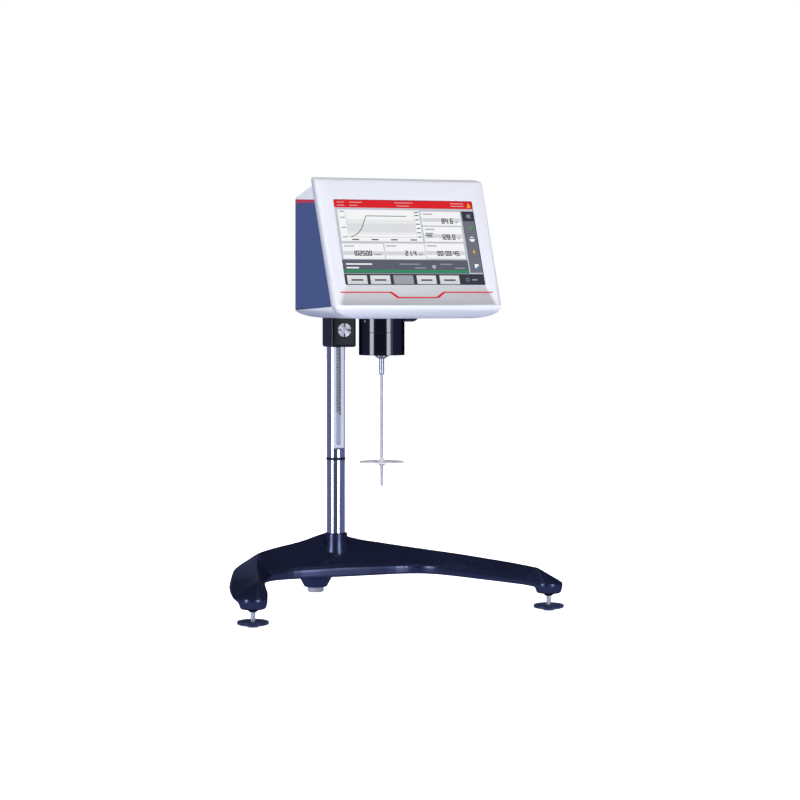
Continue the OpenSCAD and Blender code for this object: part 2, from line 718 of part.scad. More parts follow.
knob_round = 6;
grip_count = 24;
module height_knob() color([0.08, 0.08, 0.09]) translate([knob_end, pinion_y, pinion_z])
    rotate([0, 90, 0]) difference() {
        turned(concat(
            [[0, -knob_l], [8, -knob_l - 3], [knob_d / 2 - 4, -knob_l], [knob_d / 2 - 1, -knob_l],
             [knob_d / 2, 1 - knob_l]],
            arc([knob_d / 2 - knob_round, -knob_round], knob_round, knob_round, 0, 90, 8),
            [[0, 0]]
        ));
        bar_z(-knob_l - 4, -5, shaft_d / 2);
        for (k = [0:grip_count - 1]) rotate(k * 360 / grip_count) translate([knob_d / 2 + 1, 0, 0])
            bar_z(2 - knob_l, 1, 1.6);
    }

// ---------- carriage: chassis and measuring drive ----------

corner_y = 22;
corner_z = 10;
back_corner = [back_y - corner_y, head_bottom + corner_z];
chassis_half = 42;
chassis_front = spindle_y - 34;
spigot_bottom = boss_seam + 2.5;
upper_seat = chassis_top - bearing_l;
lower_seat = boss_bottom + 6;
nose_bottom = boss_bottom - 0.6;
cone_top_r = 7;
collar_screw_r = 1.5;
collar_turns = [-160, -40, 80];
collar_screw_z = head_bottom - 3.4;

module chassis() color([0.60, 0.61, 0.63]) difference() {
    union() {
        foot = arc(back_corner, corner_y - wall - 0.4, corner_z - wall - 0.4, -80, 0, 5);
        side_prism(concat(
            [[chassis_front, floor_z], [back_corner[0], floor_z]],
            [for (p = foot) if (p[1] < chassis_top) [p[0], max(p[1], floor_z)]],
            [[inner_back - upright_t, chassis_top], [chassis_front, chassis_top]]
        ), -chassis_half, chassis_half);
        side_prism(concat(
            [[back_corner[0], chassis_top - 1]],
            [for (p = foot) if (p[1] >= chassis_top - 1) p],
            [[inner_back, foot[5][1]], [inner_back, rod_z + 38], [inner_back - upright_t, rod_z + 38],
             [inner_back - upright_t, chassis_top + 2], [inner_back - upright_t - 2, chassis_top]]
        ), -upright_half, upright_half);
        at_spindle() bar_z(spigot_bottom, floor_z + 1, spigot_r);
    }
    at_spindle() {
        bar_z(spigot_bottom - 1, floor_z - 1, neck_r);
        bar_z(upper_seat, chassis_top + 1, bearing_r);
        bar_z(floor_z - 2, chassis_top, pivot_d / 2 + 1.2);
    }
    translate([0, 0, rod_z]) rod_screw_shape();
}

module guard_collar() color([0.05, 0.05, 0.06]) at_spindle() difference() {
    turned([
        [spigot_r, boss_seam], [boss_d / 2 - 0.2, boss_seam], [boss_d / 2, boss_seam + 0.2],
        [boss_d / 2, head_bottom], [spigot_r, head_bottom]
    ]);
    for (a = collar_turns) rotate(a) translate([0, 0, collar_screw_z]) bar_x(0, boss_d, collar_screw_r);
}

module collar_screws() color([0.75, 0.76, 0.78]) at_spindle()
    for (a = collar_turns) rotate(a) translate([0, 0, collar_screw_z]) difference() {
        bar_x(spigot_r, boss_d / 2 - 0.5, collar_screw_r);
        translate([boss_d / 2 - 2, 0, 0]) rotate([0, 90, 0]) hex_socket(0, 2, 1.5);
    }

module coupling_housing() color([0.05, 0.05, 0.06]) at_spindle() turned([
    [pivot_d / 2 + 0.6, nose_bottom], [cone_top_r + 1.5, nose_bottom], [cone_top_r + 4, boss_bottom],
    [boss_d / 2 - 0.5, boss_bottom], [boss_d / 2, boss_bottom + 0.5],
    [boss_d / 2, boss_seam - 0.2], [boss_d / 2 - 0.2, boss_seam],
    [neck_r, boss_seam], [neck_r, boss_seam + 9.5], [neck_r - 3, boss_seam + 9.5],
    [neck_r - 3, lower_seat + bearing_l], [bearing_r, lower_seat + bearing_l],
    [bearing_r, lower_seat], [pivot_d / 2 + 0.6, lower_seat]
]);

module pivot_bearings() color([0.70, 0.71, 0.74]) at_spindle() for (z = [lower_seat, upper_seat])
    difference() {
        bar_z(z, z + bearing_l, bearing_r);
        bar_z(z - 1, z + bearing_l + 1, pivot_d / 2 + run_gap);
    }

encoder_z = chassis_top + 3.5;
spring_z = encoder_z + 8;
carrier_z = spring_z + 6.5;
carrier_r = 13.5;
post_ring_r = 12.6;
drive_shaft_r = 2.5;
plate_t = 3;
motor_hole = 13;
post_x = motor_w / 2 + 1.9;

module pivot_shaft() color([0.68, 0.69, 0.72]) at_spindle()
    bar_z(coupling_top - 7, carrier_z + 1.5, pivot_d / 2);

slot_count = 24;
disc_r = 14.5;
module encoder_disc() color([0.20, 0.21, 0.24]) at_spindle() difference() {
    union() {
        bar_z(encoder_z, encoder_z + 0.8, disc_r);
        bar_z(encoder_z - 2, encoder_z + 3, 4.5);
    }
    bar_z(encoder_z - 3, encoder_z + 4, pivot_d / 2);
    for (k = [0:slot_count - 1]) rotate(k * 360 / slot_count)
        block([disc_r - 4, disc_r - 1], [-0.6, 0.6], [encoder_z - 1, encoder_z + 2]);
}

module encoder_sensor() color([0.08, 0.08, 0.09]) at_spindle() difference() {
    block([disc_r - 4, disc_r + 7.5], [-5, 5], [chassis_top, encoder_z + 6]);
    block([disc_r - 5, disc_r + 2], [-6, 6], [encoder_z - 1.3, encoder_z + 2.1]);
}

module spring_carrier() color([0.66, 0.67, 0.70]) at_spindle() {
    difference() {
        union() {
            bar_z(carrier_z, carrier_z + 3, carrier_r);
            bar_z(carrier_z, motor_z - plate_t - 0.5, 5);
        }
        bar_z(carrier_z - 1, carrier_z + 2, pivot_d / 2 + run_gap);
        bar_z(carrier_z + 4.5, motor_z, drive_shaft_r);
    }
    translate([post_ring_r - 0.3, 0, 0]) bar_z(spring_z - 0.5, carrier_z, 1);
}

// Flat spiral from a collet on the pivot to the carrier's post
module measuring_spring() color([0.45, 0.50, 0.60]) at_spindle() {
    collet_r = pivot_d / 2 + 1.8;
    strip = 0.35;
    steps = spring_turns * 30;
    outer = post_ring_r - 1.6;
    line = [for (k = [0:steps])
        [mix(collet_r, outer, k / steps), 360 * spring_turns * (k / steps - 1)]];
    difference() {
        bar_z(spring_z - 0.5, spring_z + 3.5, collet_r + 0.2);
        bar_z(spring_z - 1, spring_z + 5, pivot_d / 2);
    }
    translate([0, 0, spring_z]) linear_extrude(3) polygon(concat(
        [for (q = line) (q[0] - strip / 2) * [cos(q[1]), sin(q[1])]],
        [for (k = [steps:-1:0]) (line[k][0] + strip / 2) * [cos(line[k][1]), sin(line[k][1])]]
    ));
}

module motor_mount() color([0.60, 0.61, 0.63]) at_spindle() {
    difference() {
        block([-post_x - 3.5, post_x + 3.5], [-17, 17], [motor_z - plate_t, motor_z]);
        bar_z(motor_z - plate_t - 1, motor_z + 1, 6);
        for (x = [-1, 1], y = [-1, 1]) translate([x * motor_hole, y * motor_hole, 0])
            bar_z(motor_z - plate_t - 1, motor_z + 1, 1.5);
    }
    for (x = [-1, 1], y = [-1, 1]) translate([x * post_x, y * 13, 0])
        bar_z(chassis_top, motor_z - plate_t, 3);
}

module motor_screws() color([0.5, 0.5, 0.52]) at_spindle()
    for (x = [-1, 1], y = [-1, 1]) translate([x * motor_hole, y * motor_hole, 0]) {
        bar_z(motor_z - plate_t - 2.4, motor_z - plate_t, 2.75);
        bar_z(motor_z - plate_t, motor_z + 4, 1.5);
    }

module motor() color([0.16, 0.16, 0.18]) at_spindle() difference() {
    union() {
        round_slab(motor_w, motor_w, motor_z, motor_z + 7, 3);
        round_slab(motor_w - 0.6, motor_w - 0.6, motor_z + 7, motor_z + motor_l - 7, 5);
        round_slab(motor_w, motor_w, motor_z + motor_l - 7, motor_z + motor_l, 3);
    }
    bar_z(motor_z - 1, motor_z + motor_l - 7, drive_shaft_r + run_gap);
    for (x = [-1, 1], y = [-1, 1]) translate([x * motor_hole, y * motor_hole, 0])
        bar_z(motor_z - 1, motor_z + 4, 1.5);
}

module motor_shaft() color([0.68, 0.69, 0.72]) at_spindle()
    bar_z(carrier_z + 4.5, motor_z + motor_l - 8, drive_shaft_r);

// ---------- spindle ----------

coupling_top = nose_bottom - 0.3;
coupling_end = coupling_top - 12;
module spindle_coupling() color([0.78, 0.79, 0.82]) at_spindle() difference() {
    turned([
        [0, coupling_end], [sleeve_d / 2, coupling_end], [sleeve_d / 2, coupling_top - 3.2],
        [cone_top_r, coupling_top - 0.5], [cone_top_r, coupling_top], [0, coupling_top]
    ]);
    bar_z(coupling_top - 7, coupling_top + 1, pivot_d / 2);
    bar_z(coupling_end - 1, coupling_end + 3.5, spindle_d / 2 + 0.3);
}

module spindle_rod() color([0.75, 0.76, 0.79]) at_spindle() turned([
    [0, tip_z], [spindle_d / 2 - 0.8, tip_z], [spindle_d / 2, tip_z + 1.2],
    [spindle_d / 2, groove_z - 0.5], [spindle_d / 2 - 0.3, groove_z - 0.2],
    [spindle_d / 2 - 0.3, groove_z + 0.2], [spindle_d / 2, groove_z + 0.5],
    [spindle_d / 2, sleeve_z - 0.5], [sleeve_d / 2 - 0.5, sleeve_z], [sleeve_d / 2, sleeve_z + 1],
    [sleeve_d / 2, coupling_end], [spindle_d / 2 + 0.3, coupling_end],
    [spindle_d / 2 + 0.3, coupling_end + 3.5], [0, coupling_end + 3.5]
]);

// Disc with the double cone that grips the rod
module spindle_disc() color([0.75, 0.76, 0.79]) at_spindle() difference() {
    turned([
        [0, disc_z - bead_d / 2], [spindle_d / 2 + 0.3, disc_z - bead_d / 2],
        [bead_d / 2, disc_z - 2], [bead_d / 2, disc_z - disc_t / 2], [disc_d / 2, disc_z - disc_t / 2],
        [disc_d / 2, disc_z + disc_t / 2], [bead_d / 2, disc_z + disc_t / 2],
        [spindle_d / 2 + 0.3, disc_z + bead_d / 2], [0, disc_z + bead_d / 2]
    ]);
    bar_z(disc_z - bead_d, disc_z + bead_d, spindle_d / 2);
}

// ---------- head ----------

rim_y = face_y + bezel_depth;
skirt_y = spindle_y - 80;
chin_z = face_z - face_down * cos(face_tilt);
chin_rise = chin_z - head_bottom;
chin_x = 60;
top_back_r = 9;
back_w = housing_w - 2 * housing_taper;
function rim_at(z) = rim_y + (z - face_z) * tan(face_tilt);

// Housing outline seen from the side, drawn in by i; it runs ahead of the rim
function housing_profile(i, ahead = 0) =
    let (
        t = tan(top_slope), T = tan(face_tilt),
        A = back_top - i / cos(top_slope),
        z = (A + t * (back_y - rim_y) + t * T * face_z) / (1 + t * T),
        c = [back_y - top_back_r, back_top + top_back_r * t - top_back_r / cos(top_slope)]
    ) concat(
        [[rim_at(head_bottom + i) - ahead, head_bottom + i]],
        arc(back_corner, corner_y - i, corner_z - i, -90, 0, 10),
        arc(c, top_back_r - i, top_back_r - i, 0, 90 - top_slope, 6),
        [[rim_at(z) - ahead, z + ahead * t]]
    );

// Housing outline seen from the front
function housing_front(i) = concat(
    arc([chin_x, chin_z], housing_w / 2 - chin_x - i, chin_rise - i, -90, 0, 10),
    [[housing_w / 2 - i, face_z + 100], [i - housing_w / 2, face_z + 100]],
    arc([-chin_x, chin_z], housing_w / 2 - chin_x - i, chin_rise - i, 180, 270, 10)
);

// Housing outline seen from above
function housing_plan(i) =
    let (k = (housing_w - back_w) / 2 / (back_y - skirt_y)) [
        [skirt_y - 20, -housing_w / 2 + i - 20 * k], [back_y + 1, -back_w / 2 + i],
        [back_y + 1, back_w / 2 - i], [skirt_y - 20, housing_w / 2 - i + 20 * k]
    ];
module plan_prism(points)
    translate([0, 0, head_bottom - 1]) linear_extrude(back_top) polygon([for (p = points) [p[1], p[0]]]);

module housing_solid(i, ahead = 0) intersection() {
    side_prism(housing_profile(i, ahead), -housing_w, housing_w);
    front_prism(housing_front(i), skirt_y - 40, back_y + 1);
    plan_prism(housing_plan(i));
}

// Outlines of the blue panel and the stripe above it, as heights at the back and at the front
panel_low = [head_bottom + 8, head_bottom + 12.1];
panel_high = [back_top - 8.5, back_top - 9.5];
stripe_high = [back_top - 4.5, back_top - 7.3];
function trim_edge(low, high) = [
    [rim_at(low[1]), low[1]], [back_y + 1, low[0]], [back_y + 1, high[0]], [rim_at(high[1]), high[1]]
];
module trim_shape(low, high) difference() {
    intersection() {
        housing_solid(0);
        side_prism(trim_edge(low, high), -housing_w, housing_w);
    }
    plan_prism(housing_plan(panel_t));
}

module rear_housing() color([0.93, 0.93, 0.94]) difference() {
    housing_solid(0);
    housing_solid(wall, 3);
    trim_shape(panel_low, stripe_high);
    at_spindle() bar_z(head_bottom - 1, floor_z + 1, spigot_r + pass_gap);
    translate([0, 0, rod_z]) bar_y(inner_back - 1, back_y + 1, rod_d / 2);
    translate([button_x, 0, panel_z]) bar_y(inner_back - 1, back_y + 1, barrel_r);
    block([-panel_x - window_half[0], -panel_x + window_half[0]], [inner_back - 1, back_y + 1],
          [panel_z - window_half[1], panel_z + window_half[1]]);
    for (x = [-tab_x, tab_x]) translate([x, tab_screw_y, 0]) {
        bar_z(head_bottom - 1, floor_z + 1, 1.5);
        bar_z(head_bottom - 1, head_bottom + wall / 2, 2.75 + pass_gap);
    }
}

module side_panel(side) intersection() {
    trim_shape(panel_low, panel_high);
    translate([side * housing_w, 0, 0]) cube([2 * housing_w, 2000, 2000], center = true);
}
module side_panel_left() color([0.26, 0.32, 0.54]) side_panel(-1);
module side_panel_right() color([0.26, 0.32, 0.54]) side_panel(1);
module side_stripes() color([0.75, 0.10, 0.14]) trim_shape(panel_high, stripe_high);

tab_x = 45;
tab_screw_y = skirt_y + 8;
rear_depth = bezel_depth * cos(face_tilt);
rear_rise = bezel_depth * sin(face_tilt);

// One horizontal slice of the chin, at an angle down its curve
module chin_slice(a) {
    z = chin_z - chin_rise * sin(a);
    reach_x = chin_x + (face_w / 2 - chin_x) * cos(a);
    front = skirt_y - 1 + (face_foot_y - skirt_y + 1) * cos(a);
    block([-reach_x, reach_x], [front, rim_at(z)], [z - 0.001, z]);
}
face_foot_y = spindle_y - face_foot;

module bezel_shape() hull() {
    on_face() {
        span = face_up + face_down;
        middle = (face_up - face_down) / 2;
        translate([0, middle, 0]) {
            round_slab(face_w, span - 2, -bezel_round - 0.001, -bezel_round, 4, $fn = 32);
            translate([0, -bezel_round * 0.35, 0])
                round_slab(face_w - bezel_round * 0.6, span - bezel_round * 0.9, -bezel_round * 0.31 - 0.001,
                           -bezel_round * 0.3, 4, $fn = 32);
            translate([0, -bezel_round * 0.5, 0])
                round_slab(face_w - bezel_round * 2, span - bezel_round - 1, -0.001, 0, 4, $fn = 32);
        }
        translate([0, face_up + rear_rise - 20.5, -rear_depth])
            round_slab(face_w, 40, 0, 0.001, 4, $fn = 32);
    }
    for (a = [0, 15, 30, 45, 60, 75, 90]) chin_slice(a);
}

module front_bezel() color([0.95, 0.95, 0.96]) difference() {
    union() {
        difference() {
            bezel_shape();
            on_face() {
                round_slab(window_w, window_h, -lip - 1, 1, 1.5);
                round_slab(pocket_w, pocket_h, -display_back, -lip, 2.4);
                translate([0, 2, 0])
                    round_slab(frame_w + 2, frame_h + 22, -rear_depth - 1, -display_back, 6);
            }
        }
        for (x = [-tab_x, tab_x])
            block([x - 7, x + 7], [rim_at(floor_z) - 4, tab_screw_y + 5], [floor_z, floor_z + 4]);
    }
    for (x = [-tab_x, tab_x]) translate([x, tab_screw_y, 0]) bar_z(floor_z - 1, floor_z + 5, 1.5);
    on_face() for (x = [-1, 1], y = [-1, 1]) translate([x * frame_screw_x, y * frame_screw_y, 0])
        bar_z(-display_back - 1, -display_back + 4.5, 1.2);
}

module bezel_screws() color([0.5, 0.5, 0.52]) for (x = [-tab_x, tab_x])
    translate([x, tab_screw_y, 0]) {
        bar_z(head_bottom + 0.1, head_bottom + wall / 2, 2.75);
        bar_z(head_bottom + wall / 2, floor_z + 4, 1.5);
    }

module touch_glass() color([0.10, 0.11, 0.13]) on_face()
    round_slab(pocket_w - 0.4, pocket_h - 0.4, -glass_back, -lip, 2);
module display_panel() color([0.14, 0.14, 0.15]) on_face()
    round_slab(pocket_w - 0.4, pocket_h - 0.4, -display_back, -glass_back, 2);

frame_screw_x = pocket_w / 2 + 2.6;
frame_screw_y = 45;
module display_frame() color([0.62, 0.63, 0.65]) on_face() {
    difference() {
        round_slab(frame_w, frame_h, -frame_back, -display_back, 3);
        round_slab(frame_w - 50, frame_h - 50, -frame_back - 1, -display_back + 1, 3);
        for (x = [-1, 1], y = [-1, 1]) translate([x * frame_screw_x, y * frame_screw_y, 0])
            bar_z(-frame_back - 1, -display_back + 1, 1.2);
    }
    for (x = [-1, 1], y = [-1, 1]) translate([x * (frame_w / 2 - 15), y * (frame_h / 2 - 15), 0])
        bar_z(-frame_back - board_gap, -frame_back, 3);
}

module frame_screws() color([0.5, 0.5, 0.52]) on_face()
    for (x = [-1, 1], y = [-1, 1]) translate([x * frame_screw_x, y * frame_screw_y, 0]) {
        bar_z(-frame_back - 1.6, -frame_back, 2.1);
        bar_z(-frame_back, -display_back + 4.5, 1.2);
    }

module main_board() color([0.08, 0.32, 0.18]) on_face() {
    top = -frame_back - board_gap;
    back = top - board_t;
    round_slab(frame_w - 20, frame_h - 20, back, top, 2);
    block([-12, 12], [-2, 22], [back - 3, back]);
    block([-60, -44], [-30, 8], [back - 8, back]);
    block([40, 58], [10, 34], [back - 6, back]);
    block([20, 50], [-36, -28], [back - 9, back]);
}

// ---------- sockets and switch at the back ----------

barrel_r = button_r + 2;
window_half = [23, 12];
plate_half = [window_half[0] + 2, window_half[1] + 2];
plate_front = inner_back - 1.5;
jack_x = -panel_x + 17;
usb_x = -panel_x + 3;
lan_x = -panel_x - 14;
usb_rise = 4.8;
jack_r = 4.5;
usb_size = [14.4, 7.4];
lan_size = [16, 13.6];

module connector_plate() color([0.30, 0.31, 0.33]) difference() {
    block([-panel_x - plate_half[0], -panel_x + plate_half[0]], [plate_front, inner_back],
          [panel_z - plate_half[1], panel_z + plate_half[1]]);
    translate([jack_x, 0, panel_z]) bar_y(plate_front - 1, back_y, jack_r);
    for (s = [-1, 1]) socket_box(usb_x, panel_z + s * usb_rise, usb_size, plate_front - 1, back_y, 0);
    socket_box(lan_x, panel_z, lan_size, plate_front - 1, back_y, 0);
}

module socket_box(x, z, size, y0, y1, inset)
    block([x - size[0] / 2 + inset, x + size[0] / 2 - inset], [y0, y1],
          [z - size[1] / 2 + inset, z + size[1] / 2 - inset]);

module power_jack() color([0.07, 0.07, 0.08]) translate([jack_x, 0, panel_z]) {
    difference() {
        union() {
            block([-5.5, 5.5], [inner_back - 14, plate_front], [-6, 6]);
            bar_y(plate_front, back_y - 1, jack_r);
        }
        bar_y(inner_back - 11, back_y, 3.2);
    }
    bar_y(inner_back - 12, back_y - 2, 1);
}

module usb_sockets() color([0.72, 0.73, 0.75]) for (s = [-1, 1]) {
    z = panel_z + s * usb_rise;
    difference() {
        socket_box(usb_x, z, usb_size, inner_back - 13, back_y - 1, 0);
        socket_box(usb_x, z, usb_size, inner_back - 11, back_y, 0.6);
    }
    block([usb_x - 5.6, usb_x + 5.6], [inner_back - 12, back_y - 2], [z - 0.2, z + 1.8]);
}

module network_socket() color([0.70, 0.71, 0.73]) difference() {
    socket_box(lan_x, panel_z, lan_size, inner_back - 19, back_y - 1, 0);
    socket_box(lan_x, panel_z, lan_size, inner_back - 12, back_y, 2);
    block([lan_x - 3, lan_x + 3], [inner_back - 12, back_y], [panel_z - lan_size[1] / 2 + 0.8, panel_z]);
}

button_out = back_y + 2.5;
module switch_body() color([0.62, 0.63, 0.65]) translate([button_x, 0, panel_z]) difference() {
    union() {
        bar_y(back_y, back_y + 1.5, barrel_r + 1.5);
        bar_y(back_y - 15, back_y, barrel_r);
    }
    bar_y(back_y - 12, back_y + 2, button_r + 0.1);
}

module power_button() color([0.20, 0.20, 0.22]) translate([button_x, 0, panel_z])
    bar_y(back_y - 12 + button_travel + 0.5, button_out, button_r);

// ---------- drawing ----------

base_casting();
foot_inserts();
rear_pad();
column();
rack();
stop_ring();
column_bolt();
column_washer();
column_cap();
leveling_screw_left();
leveling_screw_right();
leveling_wheel_left();
leveling_wheel_right();
clamp_block();
guide_bushes();
shaft_bushes();
tension_pad();
tension_screw();
rod_clamp_screw();
mounting_rod();
rod_screw();
pinion();
pinion_shaft();
height_knob();
shaft_clip();
chassis();
guard_collar();
collar_screws();
coupling_housing();
pivot_bearings();
motor_mount();
motor_screws();
motor();
motor_shaft();
spring_carrier();
measuring_spring();
pivot_shaft();
encoder_disc();
encoder_sensor();
spindle_coupling();
spindle_rod();
spindle_disc();
rear_housing();
front_bezel();
side_panel_left();
side_panel_right();
side_stripes();
touch_glass();
display_panel();
display_frame();
frame_screws();
main_board();
bezel_screws();
connector_plate();
power_jack();
usb_sockets();
network_socket();
switch_body();
power_button();
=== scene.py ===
import json
import math

import bmesh
import bpy
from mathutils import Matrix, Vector


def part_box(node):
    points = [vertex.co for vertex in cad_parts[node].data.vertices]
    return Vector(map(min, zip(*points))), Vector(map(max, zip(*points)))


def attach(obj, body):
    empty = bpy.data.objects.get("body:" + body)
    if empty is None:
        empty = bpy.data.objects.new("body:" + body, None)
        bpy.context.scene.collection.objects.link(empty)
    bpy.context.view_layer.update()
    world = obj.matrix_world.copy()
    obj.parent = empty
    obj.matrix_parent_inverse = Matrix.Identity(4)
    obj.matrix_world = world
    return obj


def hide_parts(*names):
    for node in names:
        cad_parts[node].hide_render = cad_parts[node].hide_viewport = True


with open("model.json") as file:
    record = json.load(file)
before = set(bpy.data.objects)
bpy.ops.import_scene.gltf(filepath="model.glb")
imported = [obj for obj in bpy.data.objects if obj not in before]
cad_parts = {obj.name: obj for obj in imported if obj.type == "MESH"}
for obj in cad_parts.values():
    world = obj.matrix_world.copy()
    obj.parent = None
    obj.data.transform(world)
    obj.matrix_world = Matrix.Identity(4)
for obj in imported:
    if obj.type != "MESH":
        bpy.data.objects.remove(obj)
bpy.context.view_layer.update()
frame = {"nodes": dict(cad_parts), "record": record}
NODES = frame["nodes"]
MM = 0.001


# ---------- places shared with the solids, in millimetres ----------

VIEW_TURN = 23.63
FACE_TILT = 21.0
WINDOW_W, WINDOW_H = 155.6, 93.4
LIP = 1.2
BEZEL_DEPTH = 22.5
REACH, PAD_BEHIND, LEG_END_R = 127.3, 60.1, 17.5
FACE_AHEAD, FACE_Z, FACE_DOWN = 73.0, 385.6, 69.6
FACE_FOOT = FACE_AHEAD + FACE_DOWN * math.sin(math.radians(FACE_TILT))
COLUMN_Y = (REACH + FACE_FOOT - PAD_BEHIND - LEG_END_R - 1) / 2
SPINDLE_Y = COLUMN_Y - REACH
FACE_Y = SPINDLE_Y - FACE_AHEAD
COLUMN_R, FLAT_W = 10.0, 13.0
RACK_BOTTOM, GROOVE_BOTTOM, GROOVE_W = 200.0, 167.5, 5.0
SLOT_W, SLOT_L, SLOT_DEPTH = 1.2, 3.8, 1.6


def on_face(x, v, w=0.0):
    """Point on the tilted face: x to the right, v up the face, w out of it; millimetres in, metres out."""
    sine, cosine = math.sin(math.radians(FACE_TILT)), math.cos(math.radians(FACE_TILT))
    return Vector((x, FACE_Y + v * sine - w * cosine, FACE_Z + v * cosine + w * sine)) * MM


# ---------- shader node groups ----------

def new_group(name, inputs, outputs):
    """Empty shader group with float inputs {name: default} and outputs {name: socket type}."""
    group = bpy.data.node_groups.new(name, "ShaderNodeTree")
    for key, value in inputs.items():
        kind = "NodeSocketColor" if isinstance(value, tuple) else "NodeSocketFloat"
        socket = group.interface.new_socket(key, in_out="INPUT", socket_type=kind)
        socket.default_value = value
    for key, kind in outputs.items():
        group.interface.new_socket(key, in_out="OUTPUT", socket_type=kind)
    ends = group.nodes.new("NodeGroupInput"), group.nodes.new("NodeGroupOutput")
    return group, ends[0], ends[1]


class Nodes:
    """Short way to add and join nodes in one tree."""

    def __init__(self, tree):
        self.tree = tree

    def add(self, kind, **values):
        node = self.tree.nodes.new(kind)
        for key, value in values.items():
            if hasattr(node, key):
                setattr(node, key, value)
            else:
                node.inputs[key.replace("_", " ")].default_value = value
        return node

    def join(self, a, b):
        self.tree.links.new(a, b)

    def math(self, op, a, b=None, clamp=False):
        node = self.tree.nodes.new("ShaderNodeMath")
        node.operation = op
        node.use_clamp = clamp
        for k, value in enumerate((a, b)):
            if value is None:
                continue
            if isinstance(value, (int, float)):
                node.inputs[k].default_value = value
            else:
                self.join(value, node.inputs[k])
        return node.outputs[0]

    def mix(self, factor, a, b):
        node = self.tree.nodes.new("ShaderNodeMix")
        node.data_type = "RGBA"
        for socket, value in ((node.inputs[0], factor), (node.inputs[6], a), (node.inputs[7], b)):
            if isinstance(value, (int, float, tuple)):
                socket.default_value = value
            else:
                self.join(value, socket)
        return node.outputs[2]


def build_finish_grain():
    """Fine unevenness of a finish: a height for bump, a roughness drift and a slow shade drift."""
    group, gin, gout = new_group(
        "finish_grain", {"Scale": 900.0, "Drift": 18.0},
        {"Height": "NodeSocketFloat", "Rough": "NodeSocketFloat", "Shade": "NodeSocketFloat"})
    n = Nodes(group)
    place = n.add("ShaderNodeTexCoord")
    fine = n.add("ShaderNodeTexNoise", Detail=3.0, Roughness=0.55)
    slow = n.add("ShaderNodeTexNoise", Detail=2.0)
    n.join(place.outputs["Object"], fine.inputs["Vector"])
    n.join(place.outputs["Object"], slow.inputs["Vector"])
    n.join(gin.outputs["Scale"], fine.inputs["Scale"])
    n.join(gin.outputs["Drift"], slow.inputs["Scale"])
    n.join(fine.outputs[0], gout.inputs["Height"])
    n.join(slow.outputs[0], gout.inputs["Shade"])
    both = n.math("ADD", n.math("MULTIPLY", fine.outputs[0], 0.4), n.math("MULTIPLY", slow.outputs[0], 0.6))
    n.join(both, gout.inputs["Rough"])
    return group


def build_turning_lines():
    """Fine lathe lines around the part's own upright axis: rings stacked along Z, or along a chosen axis."""
    group, gin, gout = new_group(
        "turning_lines", {"Scale": 2200.0, "Along X": 0.0, "Along Y": 0.0, "Along Z": 1.0},
        {"Height": "NodeSocketFloat"})
    n = Nodes(group)
    place = n.add("ShaderNodeTexCoord")
    split = n.add("ShaderNodeSeparateXYZ")
    n.join(place.outputs["Object"], split.inputs[0])
    along = n.math("ADD", n.math("MULTIPLY", split.outputs[0], gin.outputs["Along X"]),
                   n.math("ADD", n.math("MULTIPLY", split.outputs[1], gin.outputs["Along Y"]),
                          n.math("MULTIPLY", split.outputs[2], gin.outputs["Along Z"])))
    noise = n.add("ShaderNodeTexNoise", noise_dimensions="1D", Detail=2.0)
    n.join(along, noise.inputs["W"])
    n.join(gin.outputs["Scale"], noise.inputs["Scale"])
    n.join(noise.outputs[0], gout.inputs["Height"])
    return group


def build_handling_wear():
    """Where hands and cloths rub: soft cloudy patches between 0 and 1."""
    group, gin, gout = new_group("handling_wear", {"Size": 30.0, "Amount": 0.5}, {"Mask": "NodeSocketFloat"})
    n = Nodes(group)
    place = n.add("ShaderNodeTexCoord")
    cloud = n.add("ShaderNodeTexNoise", Detail=6.0, Roughness=0.7)
    n.join(place.outputs["Object"], cloud.inputs["Vector"])
    n.join(gin.outputs["Size"], cloud.inputs["Scale"])
    rise = n.math("MULTIPLY", n.math("SUBTRACT", cloud.outputs[0], 0.55), 5.0, clamp=True)
    n.join(n.math("MULTIPLY", rise, gin.outputs["Amount"]), gout.inputs["Mask"])
    return group


GRAIN = build_finish_grain()
LINES = build_turning_lines()
WEAR = build_handling_wear()


def use_group(n, group, **values):
    node = n.tree.nodes.new("ShaderNodeGroup")
    node.node_tree = group
    for key, value in values.items():
        node.inputs[key.replace("_", " ")].default_value = value
    return node


# ---------- materials ----------

def srgb(code):
    """Hex colour to the linear values that a shader takes."""
    parts = [int(code[i:i + 2], 16) / 255 for i in (1, 3, 5)]
    return tuple(c / 12.92 if c <= 0.04045 else ((c + 0.055) / 1.055) ** 2.4 for c in parts) + (1.0,)


